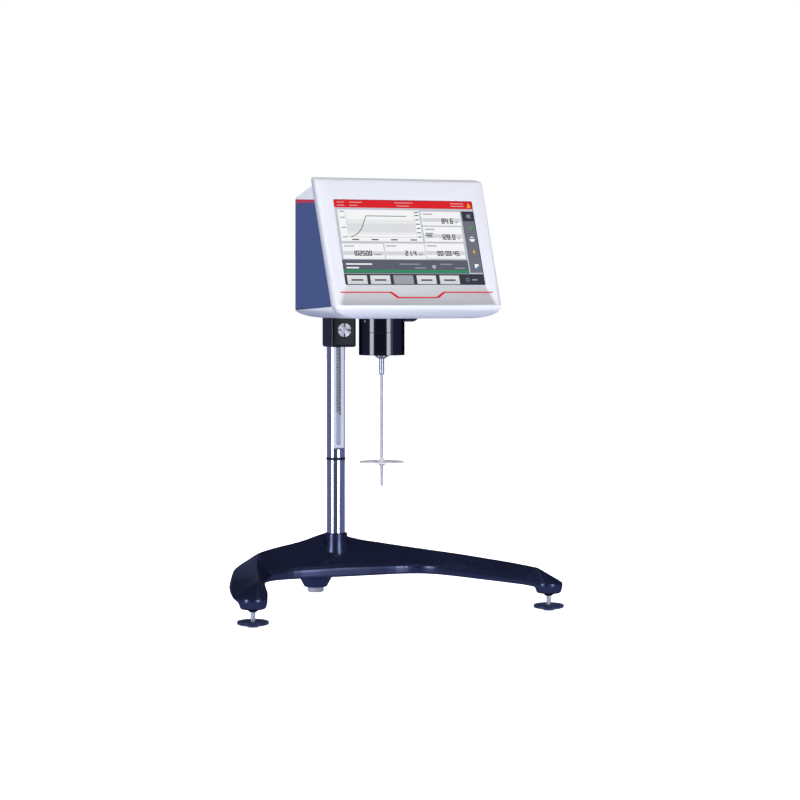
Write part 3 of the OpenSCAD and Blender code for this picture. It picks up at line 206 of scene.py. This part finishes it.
def finish(name, colour, rough, metal=0.0, coat=0.0, coat_rough=0.05, specular=0.5, rim=1.0, clear=0.0,
           drift=0.06, rough_drift=0.06, grain=900.0, bump=0.02, lines=None, line_bump=0.0, soften=0.0,
           wear=0.0, wear_rough=0.15):
    """One painted, moulded or machined finish: colour with a slow drift, uneven gloss, grain and soft edges."""
    material = bpy.data.materials.new(name)
    material.use_nodes = True
    n = Nodes(material.node_tree)
    shader = material.node_tree.nodes["Principled BSDF"]
    shader.inputs["Metallic"].default_value = metal
    shader.inputs["Coat Weight"].default_value = coat
    shader.inputs["Coat Roughness"].default_value = coat_rough
    shader.inputs["Specular IOR Level"].default_value = specular
    shader.inputs["Transmission Weight"].default_value = clear
    shader.inputs["Specular Tint"].default_value = (rim, rim, rim, 1)
    fine = use_group(n, GRAIN, Scale=grain)
    base = srgb(colour)
    dark = tuple(c * (1 - drift) for c in base[:3]) + (1.0,)
    light = tuple(min(1.0, c * (1 + drift)) for c in base[:3]) + (1.0,)
    n.join(n.mix(fine.outputs["Shade"], dark, light), shader.inputs["Base Color"])
    uneven = n.math("MULTIPLY", n.math("SUBTRACT", fine.outputs["Rough"], 0.5), rough_drift * 2)
    gloss = n.math("ADD", uneven, rough)
    if wear:
        rubbed = use_group(n, WEAR, Amount=wear)
        gloss = n.math("ADD", gloss, n.math("MULTIPLY", rubbed.outputs["Mask"], wear_rough))
    n.join(gloss, shader.inputs["Roughness"])
    relief = n.add("ShaderNodeBump", Strength=bump, Distance=0.0004)
    n.join(fine.outputs["Height"], relief.inputs["Height"])
    if lines:
        turned = use_group(n, LINES, **lines)
        ridges = n.add("ShaderNodeBump", Strength=line_bump, Distance=0.0004)
        n.join(turned.outputs["Height"], ridges.inputs["Height"])
        n.join(ridges.outputs[0], relief.inputs["Normal"])
        relief_in = ridges
    else:
        relief_in = relief
    if soften:
        edge = n.add("ShaderNodeBevel", samples=6, Radius=soften * MM)
        n.join(edge.outputs[0], relief_in.inputs["Normal"])
    n.join(relief.outputs[0], shader.inputs["Normal"])
    return material


FINISHES = {
    "base_paint": finish("base_paint", "#3E4560", 0.25, metal=0.88, rim=0.4, coat=0.1, coat_rough=0.15,
                         specular=0.2, drift=0.08, rough_drift=0.05, grain=1100.0, bump=0.004, wear=0.4,
                         wear_rough=0.06),
    "black_paint": finish("black_paint", "#060912", 0.25, coat=0.35, coat_rough=0.08, specular=0.2, drift=0.10,
                          grain=1200.0, bump=0.01, soften=1.3),
    "gloss_black": finish("gloss_black", "#4C4D52", 0.10, metal=1.0, rim=0.15, drift=0.05, grain=700.0,
                          bump=0.0, soften=0.35),
    "column_chrome": finish("column_chrome", "#DDE0E8", 0.09, metal=1.0, drift=0.02, rough_drift=0.02,
                            grain=400.0, bump=0.0),
    "dark_steel": finish("dark_steel", "#8A8D9A", 0.20, metal=0.95, drift=0.06, grain=1500.0, bump=0.0),
    "bright_steel": finish("bright_steel", "#C6C8D0", 0.28, metal=0.75, drift=0.04, bump=0.004, soften=0.2,
                           lines={"Scale": 2600.0}, line_bump=0.006),
    "spindle_steel": finish("spindle_steel", "#ABADBA", 0.30, metal=0.75, drift=0.03, bump=0.0),
    "disc_steel": finish("disc_steel", "#EAE4E6", 0.34, metal=0.15, drift=0.03, bump=0.003, soften=0.15,
                         lines={"Scale": 2600.0}, line_bump=0.004),
    "wheel_black": finish("wheel_black", "#3E4763", 0.28, metal=0.7, specular=0.3, drift=0.08, bump=0.02,
                          soften=0.3),
    # Darker steel for the flat band on the column: painted shade of a groove
    "groove_painted_shade": finish("groove_painted_shade", "#7C8299", 0.36, metal=0.7, drift=0.04, bump=0.0),
    "screw_steel": finish("screw_steel", "#E6E7EB", 0.34, metal=0.35, drift=0.05, bump=0.01, soften=0.15),
    "cast_aluminium": finish("cast_aluminium", "#B4B7BB", 0.48, metal=0.8, drift=0.08, bump=0.12, soften=0.3),
    "brass": finish("brass", "#B08D4A", 0.28, metal=1.0, drift=0.06, bump=0.03, lines={"Scale": 2600.0},
                    line_bump=0.06, soften=0.2),
    "clear_rubber": finish("clear_rubber", "#DADCE8", 0.40, drift=0.04, bump=0.06, soften=0.6, clear=0.35),
    "black_plastic": finish("black_plastic", "#0B0C0F", 0.42, drift=0.10, grain=1300.0, bump=0.10, soften=0.3),
    "white_shell": finish("white_shell", "#E7E8ED", 0.30, coat=0.15, coat_rough=0.08, drift=0.010,
                          rough_drift=0.04, grain=700.0, bump=0.015, soften=0.9),
    "blue_panel": finish("blue_panel", "#3F507F", 0.36, coat=0.2, coat_rough=0.15, drift=0.03, grain=900.0,
                         bump=0.04, soften=0.3),
    "red_trim": finish("red_trim", "#D0202A", 0.30, coat=0.2, coat_rough=0.1, drift=0.03, grain=800.0,
                       bump=0.02),
    "screen_glass": finish("screen_glass", "#101217", 0.08, coat=0.6, coat_rough=0.03, drift=0.05, bump=0.004,
                           soften=0.3),
    "board_green": finish("board_green", "#1C5233", 0.40, coat=0.2, drift=0.10, bump=0.10, soften=0.2),
    "socket_metal": finish("socket_metal", "#C8CACE", 0.30, metal=0.8, drift=0.05, bump=0.03, soften=0.15),
}


def dress(obj, *materials):
    obj.data.materials.clear()
    for material in materials:
        obj.data.materials.append(material)


for entry in frame["record"]["subparts"]:
    dress(NODES[entry["node"]], FINISHES[entry["material_slot"]])


# ---------- meshes ----------

def new_piece(name, body, material, mesh=None):
    """Object on the scene that rides on a body and takes its finish from a slot."""
    obj = bpy.data.objects.new(name, mesh or bpy.data.meshes.new(name))
    bpy.context.scene.collection.objects.link(obj)
    if material is not None:
        obj.data.materials.append(material)
    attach(obj, body)
    return obj


def fill_mesh(obj, verts, faces):
    obj.data.from_pydata([tuple(v) for v in verts], [], faces)
    obj.data.update()
    for polygon in obj.data.polygons:
        polygon.use_smooth = False


def settle(obj):
    """Turns an object's modifiers into its mesh."""
    graph = bpy.context.evaluated_depsgraph_get()
    mesh = bpy.data.meshes.new_from_object(obj.evaluated_get(graph))
    obj.modifiers.clear()
    obj.data = mesh


def between(value, table):
    """Value read off a table of (from, to) steps."""
    for (a, b), (c, d) in zip(table, table[1:]):
        if value <= c:
            return b + (d - b) * (value - a) / (c - a)
    return value - table[-1][0] + table[-1][1]


SLOPE = math.tan(math.radians(FACE_TILT))
RIM_BEHIND = 13.4
BACK_Y = SPINDLE_Y + 27.0
# Steps (from, to): where the bezel's half widths and its places up the face end up
BEZEL_WIDTHS = [(0.0, 0.0), (78.5, 78.5), (88.05, 91.0), (92.55, 93.7), (120.0, 121.15)]
BEZEL_HEIGHTS = [(-400.0, -400.0), (60.0, 60.0), (67.0, 68.2), (110.0, 111.2)]
CORNER_AT = (83.5, -60.6)
CORNER_EASE = 0.46
CHIN_V, CHIN_FADE = -72.0, 50.0
CROWN_Z, CROWN_RISE, CROWN_EASE = 428.7, 2.8, 0.5


def shell_point(p, bezel):
    """Draws the head's shell to its final form: slimmer, fuller bezel and a lower top at the back."""
    x, y, z = p.x / MM, p.y / MM, p.z / MM
    front = FACE_Y + (z - FACE_Z) * SLOPE
    behind = y - front
    rim, new_rim = front + BEZEL_DEPTH, front + RIM_BEHIND
    if behind <= BEZEL_DEPTH + 0.02:
        y = front + behind * RIM_BEHIND / BEZEL_DEPTH
        t = 0.0
    else:
        t = min(1.0, (y - rim) / (BACK_Y - rim))
        y = new_rim + (y - rim) / (BACK_Y - rim) * (BACK_Y - new_rim) if y < BACK_Y else y
    if bezel:
        cosine = math.cos(math.radians(FACE_TILT))
        rise = (z - FACE_Z) / cosine
        share = min(1.0, max(0.0, (rise - CHIN_V) / CHIN_FADE))
        width = abs(x) + (between(abs(x), BEZEL_WIDTHS) - abs(x)) * share
        over, under = width - CORNER_AT[0], CORNER_AT[1] - rise
        if over > 0 and under > 0:
            ease = 1 - CORNER_EASE * (1 - max(over, under) / math.hypot(over, under))
            width, rise = CORNER_AT[0] + over * ease, CORNER_AT[1] - under * ease
        x = math.copysign(width, x)
        z = FACE_Z + between(rise, BEZEL_HEIGHTS) * cosine
    crown = CROWN_Z + CROWN_RISE * t
    if z > crown and not bezel:
        z = crown + (z - crown) * (1 - CROWN_EASE * t)
    return Vector((x, y, z)) * MM


def smooth_copy(node, body, slot, angle=35.0, weld=0.02, shape=None):
    """The node's own form with shading that flows over its soft edges."""
    obj = new_piece(node + "_surface", body, None, NODES[node].data.copy())
    if shape:
        for vertex in obj.data.vertices:
            vertex.co = shape(vertex.co)
    dress(obj, FINISHES[slot])
    form = bmesh.new()
    form.from_mesh(obj.data)
    bmesh.ops.remove_doubles(form, verts=form.verts, dist=weld * MM)
    bmesh.ops.dissolve_degenerate(form, edges=form.edges, dist=0.002 * MM)
    form.to_mesh(obj.data)
    form.free()
    for polygon in obj.data.polygons:
        polygon.use_smooth = True
    obj.data.set_sharp_from_angle(angle=math.radians(angle))
    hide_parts(node)
    return obj


def cast_surface(node, body, slot, voxel=1.0, passes=4):
    """The node's form as a casting: one skin whose corners are rounded off all over."""
    obj = new_piece(node + "_surface", body, None, NODES[node].data.copy())
    dress(obj, FINISHES[slot])
    remesh = obj.modifiers.new("skin", "REMESH")
    remesh.mode = "VOXEL"
    remesh.voxel_size = voxel * MM
    ease = obj.modifiers.new("ease", "SMOOTH")
    ease.factor = 0.5
    ease.iterations = passes
    settle(obj)
    for polygon in obj.data.polygons:
        polygon.use_smooth = True
    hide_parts(node)


cast_surface("base_casting", "stand", "base_paint")
smooth_copy("front_bezel", "carriage", "white_shell", shape=lambda p: shell_point(p, True))
for shell, slot in (("rear_housing", "white_shell"), ("side_panel_left", "blue_panel"),
                    ("side_panel_right", "blue_panel"), ("side_stripes", "red_trim"),
                    ("bezel_screws", "screw_steel")):
    smooth_copy(shell, "carriage", slot, shape=lambda p: shell_point(p, False))
dress(NODES["spindle_disc"], FINISHES["disc_steel"])
for wheel in ("leveling_wheel_left", "leveling_wheel_right"):
    dress(NODES[wheel], FINISHES["wheel_black"])


def slotted_head():
    """The tension screw with painted shade in its four slots: their floors and walls dressed in black."""
    obj = smooth_copy("tension_screw", "tension", "screw_steel", angle=25.0)
    # Second finish, black, is painted shade for the floors and walls of the slots
    obj.data.materials.append(FINISHES["black_plastic"])
    low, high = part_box("tension_screw")
    axis_x, axis_z = (low[0] + high[0]) / 2, (low[2] + high[2]) / 2
    radius = (high[0] - low[0]) / 2
    half = (SLOT_W / 2 + 0.05) * MM
    inner, outer = radius - (SLOT_L + 0.1) * MM, radius - 0.02 * MM
    front, floor = low[1] + 0.05 * MM, low[1] + (SLOT_DEPTH + 0.15) * MM
    # Faces inside the slots take the black finish: painted shade in the recesses
    for polygon in obj.data.polygons:
        c = polygon.center
        side, along = sorted((abs(c.x - axis_x), abs(c.z - axis_z)))
        if front < c.y < floor and side < half and inner < along < outer:
            polygon.material_index = 1


def groove_band():
    """Grey band on the column's flat below the rack, flat: painted shade where a shallow groove would carry on.
    """
    # Flat dark patch with no groove cut under it: painted shade
    obj = new_piece("rack_groove_shade", "stand", FINISHES["groove_painted_shade"])
    y = COLUMN_Y - math.sqrt(COLUMN_R ** 2 - (FLAT_W / 2) ** 2) - 0.03
    half = GROOVE_W / 2
    corners = ((-half, GROOVE_BOTTOM), (half, GROOVE_BOTTOM), (half, RACK_BOTTOM), (-half, RACK_BOTTOM))
    fill_mesh(obj, [Vector((x, y, z)) * MM for x, z in corners], [(0, 1, 2, 3)])


slotted_head()
groove_band()


# ---------- screen ----------

def lit(name, colour, strength=0.94, rough=0.32):
    """A colour on the lit display, under a thin film of glass."""
    material = bpy.data.materials.new(name)
    material.use_nodes = True
    n = Nodes(material.node_tree)
    shader = material.node_tree.nodes["Principled BSDF"]
    fine = use_group(n, GRAIN, Scale=1600.0, Drift=60.0)
    base = srgb(colour)
    dark = tuple(c * 0.96 for c in base[:3]) + (1.0,)
    tone = n.mix(fine.outputs["Shade"], dark, base)
    shader.inputs["Base Color"].default_value = (0.012, 0.013, 0.016, 1)
    n.join(tone, shader.inputs["Emission Color"])
    shader.inputs["Emission Strength"].default_value = strength
    shader.inputs["Roughness"].default_value = rough
    shader.inputs["Specular IOR Level"].default_value = 0.25
    return material


INK = {
    "red": lit("lit_red", "#E0070F"), "page": lit("lit_page", "#C6C8D1"), "card": lit("lit_card", "#FBFBFC"),
    "card_low": lit("lit_card_low", "#D9DADD"), "card_soft": lit("lit_card_soft", "#EDEEF0"),
    "card_mid": lit("lit_card_mid", "#E1E2E5"), "slate": lit("lit_slate", "#5A5C6A"),
    "dark": lit("lit_dark", "#2E303C"), "side": lit("lit_side", "#6E707C"),
    "green": lit("lit_green", "#2E8A5E"), "leaf": lit("lit_leaf", "#2F6B3A"),
    "button": lit("lit_button", "#E4E4E8"), "grey": lit("lit_grey", "#A2A3AB"),
    "text": lit("lit_text", "#121317"), "sky": lit("lit_sky", "#7FB8CE"), "white": lit("lit_white", "#FFFFFF"),
    "amber": lit("lit_amber", "#E9B23A"), "tick": lit("lit_tick", "#3FA04A"),
    "blue": lit("lit_blue", "#3C7FB5"),
}
INK_ORDER = list(INK)


class Picture:
    """The picture on the display: flat patches in thin layers just above the glass."""

    def __init__(self):
        self.verts, self.faces, self.inks = [], [], []

    def patch(self, ink, points, layer):
        start = len(self.verts)
        self.verts += [on_face(x, v, -LIP + 0.05 + 0.02 * layer) for x, v in points]
        self.faces.append(list(range(start, start + len(points))))
        self.inks.append(INK_ORDER.index(ink))

    def box(self, ink, x0, v0, x1, v1, layer):
        self.patch(ink, [(x0, v0), (x1, v0), (x1, v1), (x0, v1)], layer)

    def line(self, ink, points, width, layer):
        for a, b in zip(points, points[1:]):
            along = Vector(b) - Vector(a)
            side = Vector((-along.y, along.x)).normalized() * width / 2
            self.patch(ink, [Vector(a) - side, Vector(b) - side, Vector(b) + side, Vector(a) + side], layer)

    def disc(self, ink, x, v, r, layer, start=0.0, end=360.0, steps=20):
        turn = [math.radians(start + (end - start) * k / steps) for k in range(steps + 1)]
        if end - start >= 360:
            turn.pop()
        self.patch(ink, [(x + r * math.cos(a), v + r * math.sin(a)) for a in turn], layer)

    def build(self, name):
        obj = new_piece(name, "carriage", None)
        fill_mesh(obj, self.verts, self.faces)
        for ink in INK_ORDER:
            obj.data.materials.append(INK[ink])
        for polygon, ink in zip(obj.data.polygons, self.inks):
            polygon.material_index = ink


# Strokes of a plain digit on a 1 by 2 cell
STROKES = {"a": ((0, 2), (1, 2)), "b": ((1, 2), (1, 1)), "c": ((1, 1), (1, 0)), "d": ((0, 0), (1, 0)),
           "e": ((0, 1), (0, 0)), "f": ((0, 2), (0, 1)), "g": ((0, 1), (1, 1))}
DIGITS = {"0": "abcdef", "1": "bc", "2": "abged", "3": "abgcd", "4": "fgbc", "5": "afgcd", "6": "afgedc",
          "7": "abc", "8": "abcdefg", "9": "abcdfg"}


def number(picture, ink, text, right, v, height, layer, weight=0.4):
    """Digits set flush right, on a baseline."""
    unit = height / 2
    pen = right
    for sign in reversed(text):
        if sign == ".":
            pen -= unit * 0.5
            picture.box(ink, pen, v, pen + unit * 0.4, v + unit * 0.4, layer)
            pen -= unit * 0.3
            continue
        if sign == ":":
            pen -= unit * 0.5
            for lift in (0.3, 1.3):
                picture.box(ink, pen, v + unit * lift, pen + unit * 0.35, v + unit * (lift + 0.35), layer)
            pen -= unit * 0.35
            continue
        pen -= unit
        for stroke in DIGITS[sign]:
            (x0, y0), (x1, y1) = STROKES[stroke]
            grow = weight / 2
            picture.box(ink, pen + unit * (min(x0, x1) * 0.9 - grow), v + unit * (min(y0, y1) - grow),
                        pen + unit * (max(x0, x1) * 0.9 + grow), v + unit * (max(y0, y1) + grow), layer)
        pen -= unit * 0.55


def measuring_screen():
    """A measuring page: header, curve, value cards, progress bar, buttons and a side bar of signs."""
    p = Picture()
    left, right, top, low = -WINDOW_W / 2 + 0.3, WINDOW_W / 2 - 0.3, WINDOW_H / 2 - 0.3, -WINDOW_H / 2 + 0.3
    p.box("page", left, low, right, top, 0)
    p.box("red", left, 38.0, right, top, 1)
    for x0, x1, v in ((-74, -66, 43.6), (-60, -46, 43.6), (-74, -66, 40.2), (-60, -52, 40.2), (-10, 10, 43.6),
                      (-8, 6, 40.2), (53, 68, 43.6), (53, 68, 40.8)):
        p.box("card_low", x0, v, x1, v + 0.5, 2)
    p.patch("amber", [(71.4, 39.6), (75.8, 39.6), (73.6, 45.2)], 3)

    # Curve
    p.box("card", -74.6, 1.1, 15.6, 35.7, 1)
    p.box("card_soft", -65.6, 8.6, 9.0, 25.0, 2)
    p.box("card_mid", -65.6, 11.4, 9.0, 20.4, 3)
    p.line("grey", [(-66.2, 34.0), (-66.2, 5.7), (9.4, 5.7), (9.4, 34.2)], 0.35, 3)
    rise = [(-64.0, 5.9), (-60.5, 6.8), (-57.0, 8.6), (-53.6, 11.4), (-51.0, 14.8), (-48.6, 19.2),
            (-46.4, 24.0), (-44.6, 28.0), (-43.6, 29.0), (-20.0, 29.0), (1.2, 29.0)]
    p.line("leaf", rise, 0.8, 4)
    for v in (33.6, 27.0, 16.0, 5.6):
        p.box("sky", -72.5, v - 0.6, -67.4, v + 0.7, 3)
    for v in (33.5, 30.0, 25.2, 20.4, 15.6, 10.8, 6.2):
        p.box("leaf", 10.6, v - 0.55, 14.6, v + 0.6, 3)
    for x in (-63.0, -41.5, -20.0, 1.5):
        p.box("text", x, 2.3, x + 7.6, 3.5, 3)

    # Value cards
    cards = ((17.6, 19.3, 62.0, 34.6), (17.6, 1.3, 61.2, 17.7), (16.8, -17.3, 60.8, -0.7),
             (-74.9, -18.1, -29.6, -1.5), (-28.4, -18.1, 16.0, -1.1))
    for x0, v0, x1, v1 in cards:
        p.box("card", x0, v0, x1, v1, 1)
        p.box("card_low", x0 + 0.4, v0 + 4.0, x1 - 0.4, v0 + 8.2, 2)
        p.box("grey", x0 + 2.0, v1 - 3.4, x0 + 13.0, v1 - 2.2, 3)
    number(p, "text", "84.6", 52.6, 21.8, 4.9, 4)
    number(p, "text", "128.0", 52.4, 4.0, 4.9, 4)
    number(p, "text", "00:00:45", 54.0, -14.1, 4.6, 4)
    number(p, "text", "102500", -43.6, -14.4, 4.7, 4)
    number(p, "text", "21.4", 5.6, -14.2, 4.7, 4)
    for x0, x1, v in ((55.4, 58.2, 22.2), (55.4, 57.6, 4.4), (-40.8, -33.0, -14.2), (8.2, 13.0, -14.0),
                      (20.0, 28.4, 9.4), (21.0, 27.0, 6.0)):
        p.box("grey", x0, v, x1, v + 1.6, 3)
    for x0 in (20.0, 22.4, 24.8):
        p.box("text", x0, 7.6, x0 + 1.6, 9.0, 4)

    # State of the run and its progress
    p.box("slate", left, -34.0, 62.2, -19.0, 1)
    for x0, x1, v in ((-73.5, -45.0, -24.6), (-73.5, -60.0, -28.6)):
        p.box("card", x0, v, x1, v + 1.5, 2)
    for x0, x1, v in ((-15.0, 8.0, -24.2), (2.0, 14.0, -28.4), (31.0, 44.0, -24.2), (47.0, 58.0, -28.4)):
        p.box("grey", x0, v, x1, v + 1.0, 2)
    p.disc("card_low", 23.4, -26.6, 1.9, 2)
    p.disc("slate", 23.4, -26.6, 0.9, 3)
    p.box("green", -75.8, -33.2, 61.7, -30.0, 2)

    # Buttons
    p.box("dark", left, low, right, -34.4, 1)
    for x0, x1, ink in ((-74.6, -52.8, "button"), (-49.2, -27.4, "button"), (-23.8, -1.8, "grey"),
                        (2.0, 23.6, "button"), (27.6, 49.6, "button")):
        p.box(ink, x0, -45.4, x1, -36.0, 2)
        if ink == "button":
            p.box("card_low", x0 + 0.5, -45.0, x1 - 0.5, -41.0, 3)
            p.box("text", x0 + 4.5, -41.9, x1 - 4.5, -40.3, 4)
    p.disc("grey", 59.0, -40.6, 2.0, 2)
    p.disc("dark", 59.0, -40.6, 1.5, 3)
    p.box("grey", 64.0, -41.3, 70.0, -40.0, 2)

    # Side bar with signs
    p.box("side", 63.6, -33.0, right, 35.4, 1)
    p.box("dark", 64.2, 24.4, right, 35.4, 2)
    for x in (69.4, 71.8):
        p.line("card_low", [(x + 1.8, 32.0), (x, 30.0), (x + 1.8, 28.0)], 0.6, 3)
    p.line("tick", [(69.0, 17.4), (70.8, 15.4), (74.6, 20.2)], 1.5, 3)
    p.disc("white", 71.5, 4.3, 2.9, 3)
    p.box("side", 69.0, 4.5, 74.0, 6.0, 4)
    p.disc("amber", 71.9, -9.7, 1.9, 3)
    p.disc("side", 73.2, -9.7, 1.3, 4)
    p.box("white", 69.6, -27.6, 74.0, -23.4, 3)
    p.disc("blue", 73.2, -27.2, 1.6, 4)
    p.build("measuring_screen")


measuring_screen()


def crossing(a, b, c, d):
    """Where the line through a and b meets the line through c and d."""
    u, w = b - a, d - c
    t = ((c.x - a.x) * w.y - (c.y - a.y) * w.x) / (u.x * w.y - u.y * w.x)
    return a + u * t


def trim_line():
    """Red line across the face below the screen, stepped down in the middle to frame a bare place."""
    path = [Vector(q) for q in ((-86.0, -54.8), (-29.6, -54.8), (-22.2, -60.5), (21.6, -60.5), (29.4, -54.8),
                                (86.0, -54.8))]
    widths = [1.3, 2.4, 1.3, 2.4, 1.3]
    edges = []
    for side in (1, -1):
        runs = []
        for k, width in enumerate(widths):
            along = (path[k + 1] - path[k]).normalized()
            off = Vector((-along.y, along.x)) * width / 2 * side
            runs.append((path[k] + off, path[k + 1] + off))
        corners = [crossing(*runs[k], *runs[k + 1]) for k in range(len(runs) - 1)]
        edges.append([runs[0][0]] + corners + [runs[-1][1]])
    verts, faces = [], []
    for upper, lower in zip(*edges):
        for q in (upper, lower):
            verts += [on_face(q.x, q.y, 0.12), on_face(q.x, q.y, -0.05)]
    for k in range(len(path) - 1):
        i = 4 * k
        faces += [[i, i + 2, i + 6, i + 4], [i, i + 4, i + 5, i + 1], [i + 2, i + 3, i + 7, i + 6]]
    faces += [[0, 1, 3, 2], [4 * len(path) - 4, 4 * len(path) - 2, 4 * len(path) - 1, 4 * len(path) - 3]]
    obj = new_piece("face_trim_line", "carriage", FINISHES["red_trim"])
    fill_mesh(obj, verts, faces)


trim_line()


# ---------- floor, light and camera ----------

STUDIO_DEEP = (0.13, 0.15, 0.31, 1)
STUDIO_DARK = (0.08, 0.085, 0.16, 1)
STUDIO_AIR = (0.535, 0.54, 0.565, 1)
STUDIO_SEEN = (1.0, 1.0, 1.0, 1)
FLOOR_HALF = 9
FLOOR_LIT, FLOOR_SEEN = (0.52, 0.58, 0.74, 1), (0.93, 0.93, 0.94, 1)
POOL, POOL_R, POOL_FADE = (0.34, 0.38, 0.62, 1), 0.34, 8.0
HIGH_FROM, HIGH_FADE = 0.12, 4.0
NEAR_FROM, NEAR_FADE = 0.74, 7.0


def studio():
    """Pale floor and even light; what polished surfaces mirror is a deep blue room with bright softboxes."""
    floor_mesh = bpy.data.meshes.new("floor")
    corners = [(x * FLOOR_HALF, y * FLOOR_HALF, 0) for x, y in ((-1, -1), (1, -1), (1, 1), (-1, 1))]
    floor_mesh.from_pydata(corners, [], [(0, 1, 2, 3)])
    floor = bpy.data.objects.new("floor", floor_mesh)
    bpy.context.scene.collection.objects.link(floor)
    paper = bpy.data.materials.new("floor_paper")
    paper.use_nodes = True
    n = Nodes(paper.node_tree)
    shader = paper.node_tree.nodes["Principled BSDF"]
    shader.inputs["Roughness"].default_value = 1.0
    shader.inputs["Specular IOR Level"].default_value = 0.0
    shader.inputs["Emission Color"].default_value = (1, 1, 1, 1)
    ray = n.add("ShaderNodeLightPath")
    n.join(ray.outputs["Is Camera Ray"], shader.inputs["Emission Strength"])
    n.join(n.mix(ray.outputs["Is Camera Ray"], FLOOR_LIT, FLOOR_SEEN), shader.inputs["Base Color"])

    # Polished surfaces mirror a blue pool of floor under the part and look through the floor beyond it
    place = n.add("ShaderNodeTexCoord")
    reach = n.add("ShaderNodeVectorMath", operation="LENGTH")
    n.join(place.outputs["Object"], reach.inputs[0])
    far = n.math("MULTIPLY", n.math("SUBTRACT", reach.outputs["Value"], POOL_R), POOL_FADE, clamp=True)
    pool = n.add("ShaderNodeEmission", Color=POOL)
    through = n.add("ShaderNodeBsdfTransparent")
    mirrored, choice = n.add("ShaderNodeMixShader"), n.add("ShaderNodeMixShader")
    for k, value in enumerate((far, pool.outputs[0], through.outputs[0])):
        n.join(value, mirrored.inputs[k])
    for k, value in enumerate((ray.outputs["Is Glossy Ray"], shader.outputs[0], mirrored.outputs[0])):
        n.join(value, choice.inputs[k])
    n.join(choice.outputs[0], paper.node_tree.nodes["Material Output"].inputs["Surface"])
    floor.data.materials.append(paper)

    world = bpy.data.worlds.new("studio_air")
    bpy.context.scene.world = world
    world.use_nodes = True
    n = Nodes(world.node_tree)
    sky = world.node_tree.nodes["Background"]
    ray = n.add("ShaderNodeLightPath")
    place = n.add("ShaderNodeTexCoord")
    ahead = n.add("ShaderNodeVectorMath", operation="DOT_PRODUCT")
    n.join(place.outputs["Generated"], ahead.inputs[0])
    front = math.radians(-90 - VIEW_TURN)
    ahead.inputs[1].default_value = (math.cos(front), math.sin(front), 0.0)
    split = n.add("ShaderNodeSeparateXYZ")
    n.join(place.outputs["Generated"], split.inputs[0])
    high = n.math("MULTIPLY", n.math("SUBTRACT", split.outputs[2], HIGH_FROM), HIGH_FADE, clamp=True)
    near = n.math("MULTIPLY", n.math("SUBTRACT", ahead.outputs["Value"], NEAR_FROM), NEAR_FADE, clamp=True)
    dim = n.math("MAXIMUM", high, near)
    mirrored = n.mix(dim, STUDIO_DEEP, STUDIO_DARK)
    seen = n.mix(ray.outputs["Is Glossy Ray"], STUDIO_AIR, mirrored)
    n.join(n.mix(ray.outputs["Is Camera Ray"], seen, STUDIO_SEEN), sky.inputs["Color"])
    sky.inputs["Strength"].default_value = 1.0


def softbox(name, turn, away, low, high, width, glow):
    """Upright softbox, turned to the right of the view in degrees; glow is how bright it looks."""
    data = bpy.data.lights.new(name, "AREA")
    data.shape = "RECTANGLE"
    data.size, data.size_y = width, high - low
    data.energy = math.pi * width * (high - low) * glow
    obj = bpy.data.objects.new(name, data)
    bpy.context.scene.collection.objects.link(obj)
    angle = math.radians(-90 - VIEW_TURN + turn)
    place = Vector((math.cos(angle) * away, math.sin(angle) * away, (low + high) / 2))
    obj.location = place
    obj.rotation_euler = Vector((-place.x, -place.y, 0.0)).to_track_quat("-Z", "Y").to_euler()
    obj.visible_camera = False


def overhead(name, place, aim, side, power):
    """Square softbox aimed at a point, which polished surfaces don't mirror; metres and watts."""
    data = bpy.data.lights.new(name, "AREA")
    data.shape = "SQUARE"
    data.size = side
    data.energy = power
    obj = bpy.data.objects.new(name, data)
    bpy.context.scene.collection.objects.link(obj)
    obj.location = place
    obj.rotation_euler = (Vector(aim) - Vector(place)).to_track_quat("-Z", "Y").to_euler()
    obj.visible_camera = False
    obj.visible_glossy = False


studio()
softbox("left_softbox", -48, 1.2, -0.35, 0.80, 0.42, 6.2)
softbox("right_softbox", 34.5, 1.2, -0.35, 0.80, 0.36, 6.2)
softbox("flat_fill", 50, 1.5, 0.005, 0.86, 0.34, 0.62)
overhead("top_softbox", (0.1, -0.2, 2.2), (0.0, 0.0, 0.2), 1.6, 6.0)
overhead("back_softbox", (0.9, 1.8, 0.9), (0.0, 0.0, 0.3), 1.0, 12.0)

bpy.context.scene.view_settings.view_transform = "Standard"
bpy.context.scene.view_settings.look = "None"

# The camera's frame, focal length and shift in pixels, and its place in millimetres from the spindle
FRAME, FOCAL, SHIFT = 800.0, 2462.0, -107.4
CAMERA_X, CAMERA_Y, CAMERA_Z = -1016.95, -2372.29, 334.1
camera_data = bpy.data.cameras.new("camera")
camera_data.sensor_width = 36.0
camera_data.lens = FOCAL / FRAME * camera_data.sensor_width
camera_data.shift_y = SHIFT / FRAME
camera_data.clip_end = 50.0
camera = bpy.data.objects.new("camera", camera_data)
bpy.context.scene.collection.objects.link(camera)
camera.location = Vector((CAMERA_X, CAMERA_Y + SPINDLE_Y, CAMERA_Z)) * MM
camera.rotation_euler = (math.radians(90), 0, math.radians(-VIEW_TURN))
bpy.context.scene.camera = camera
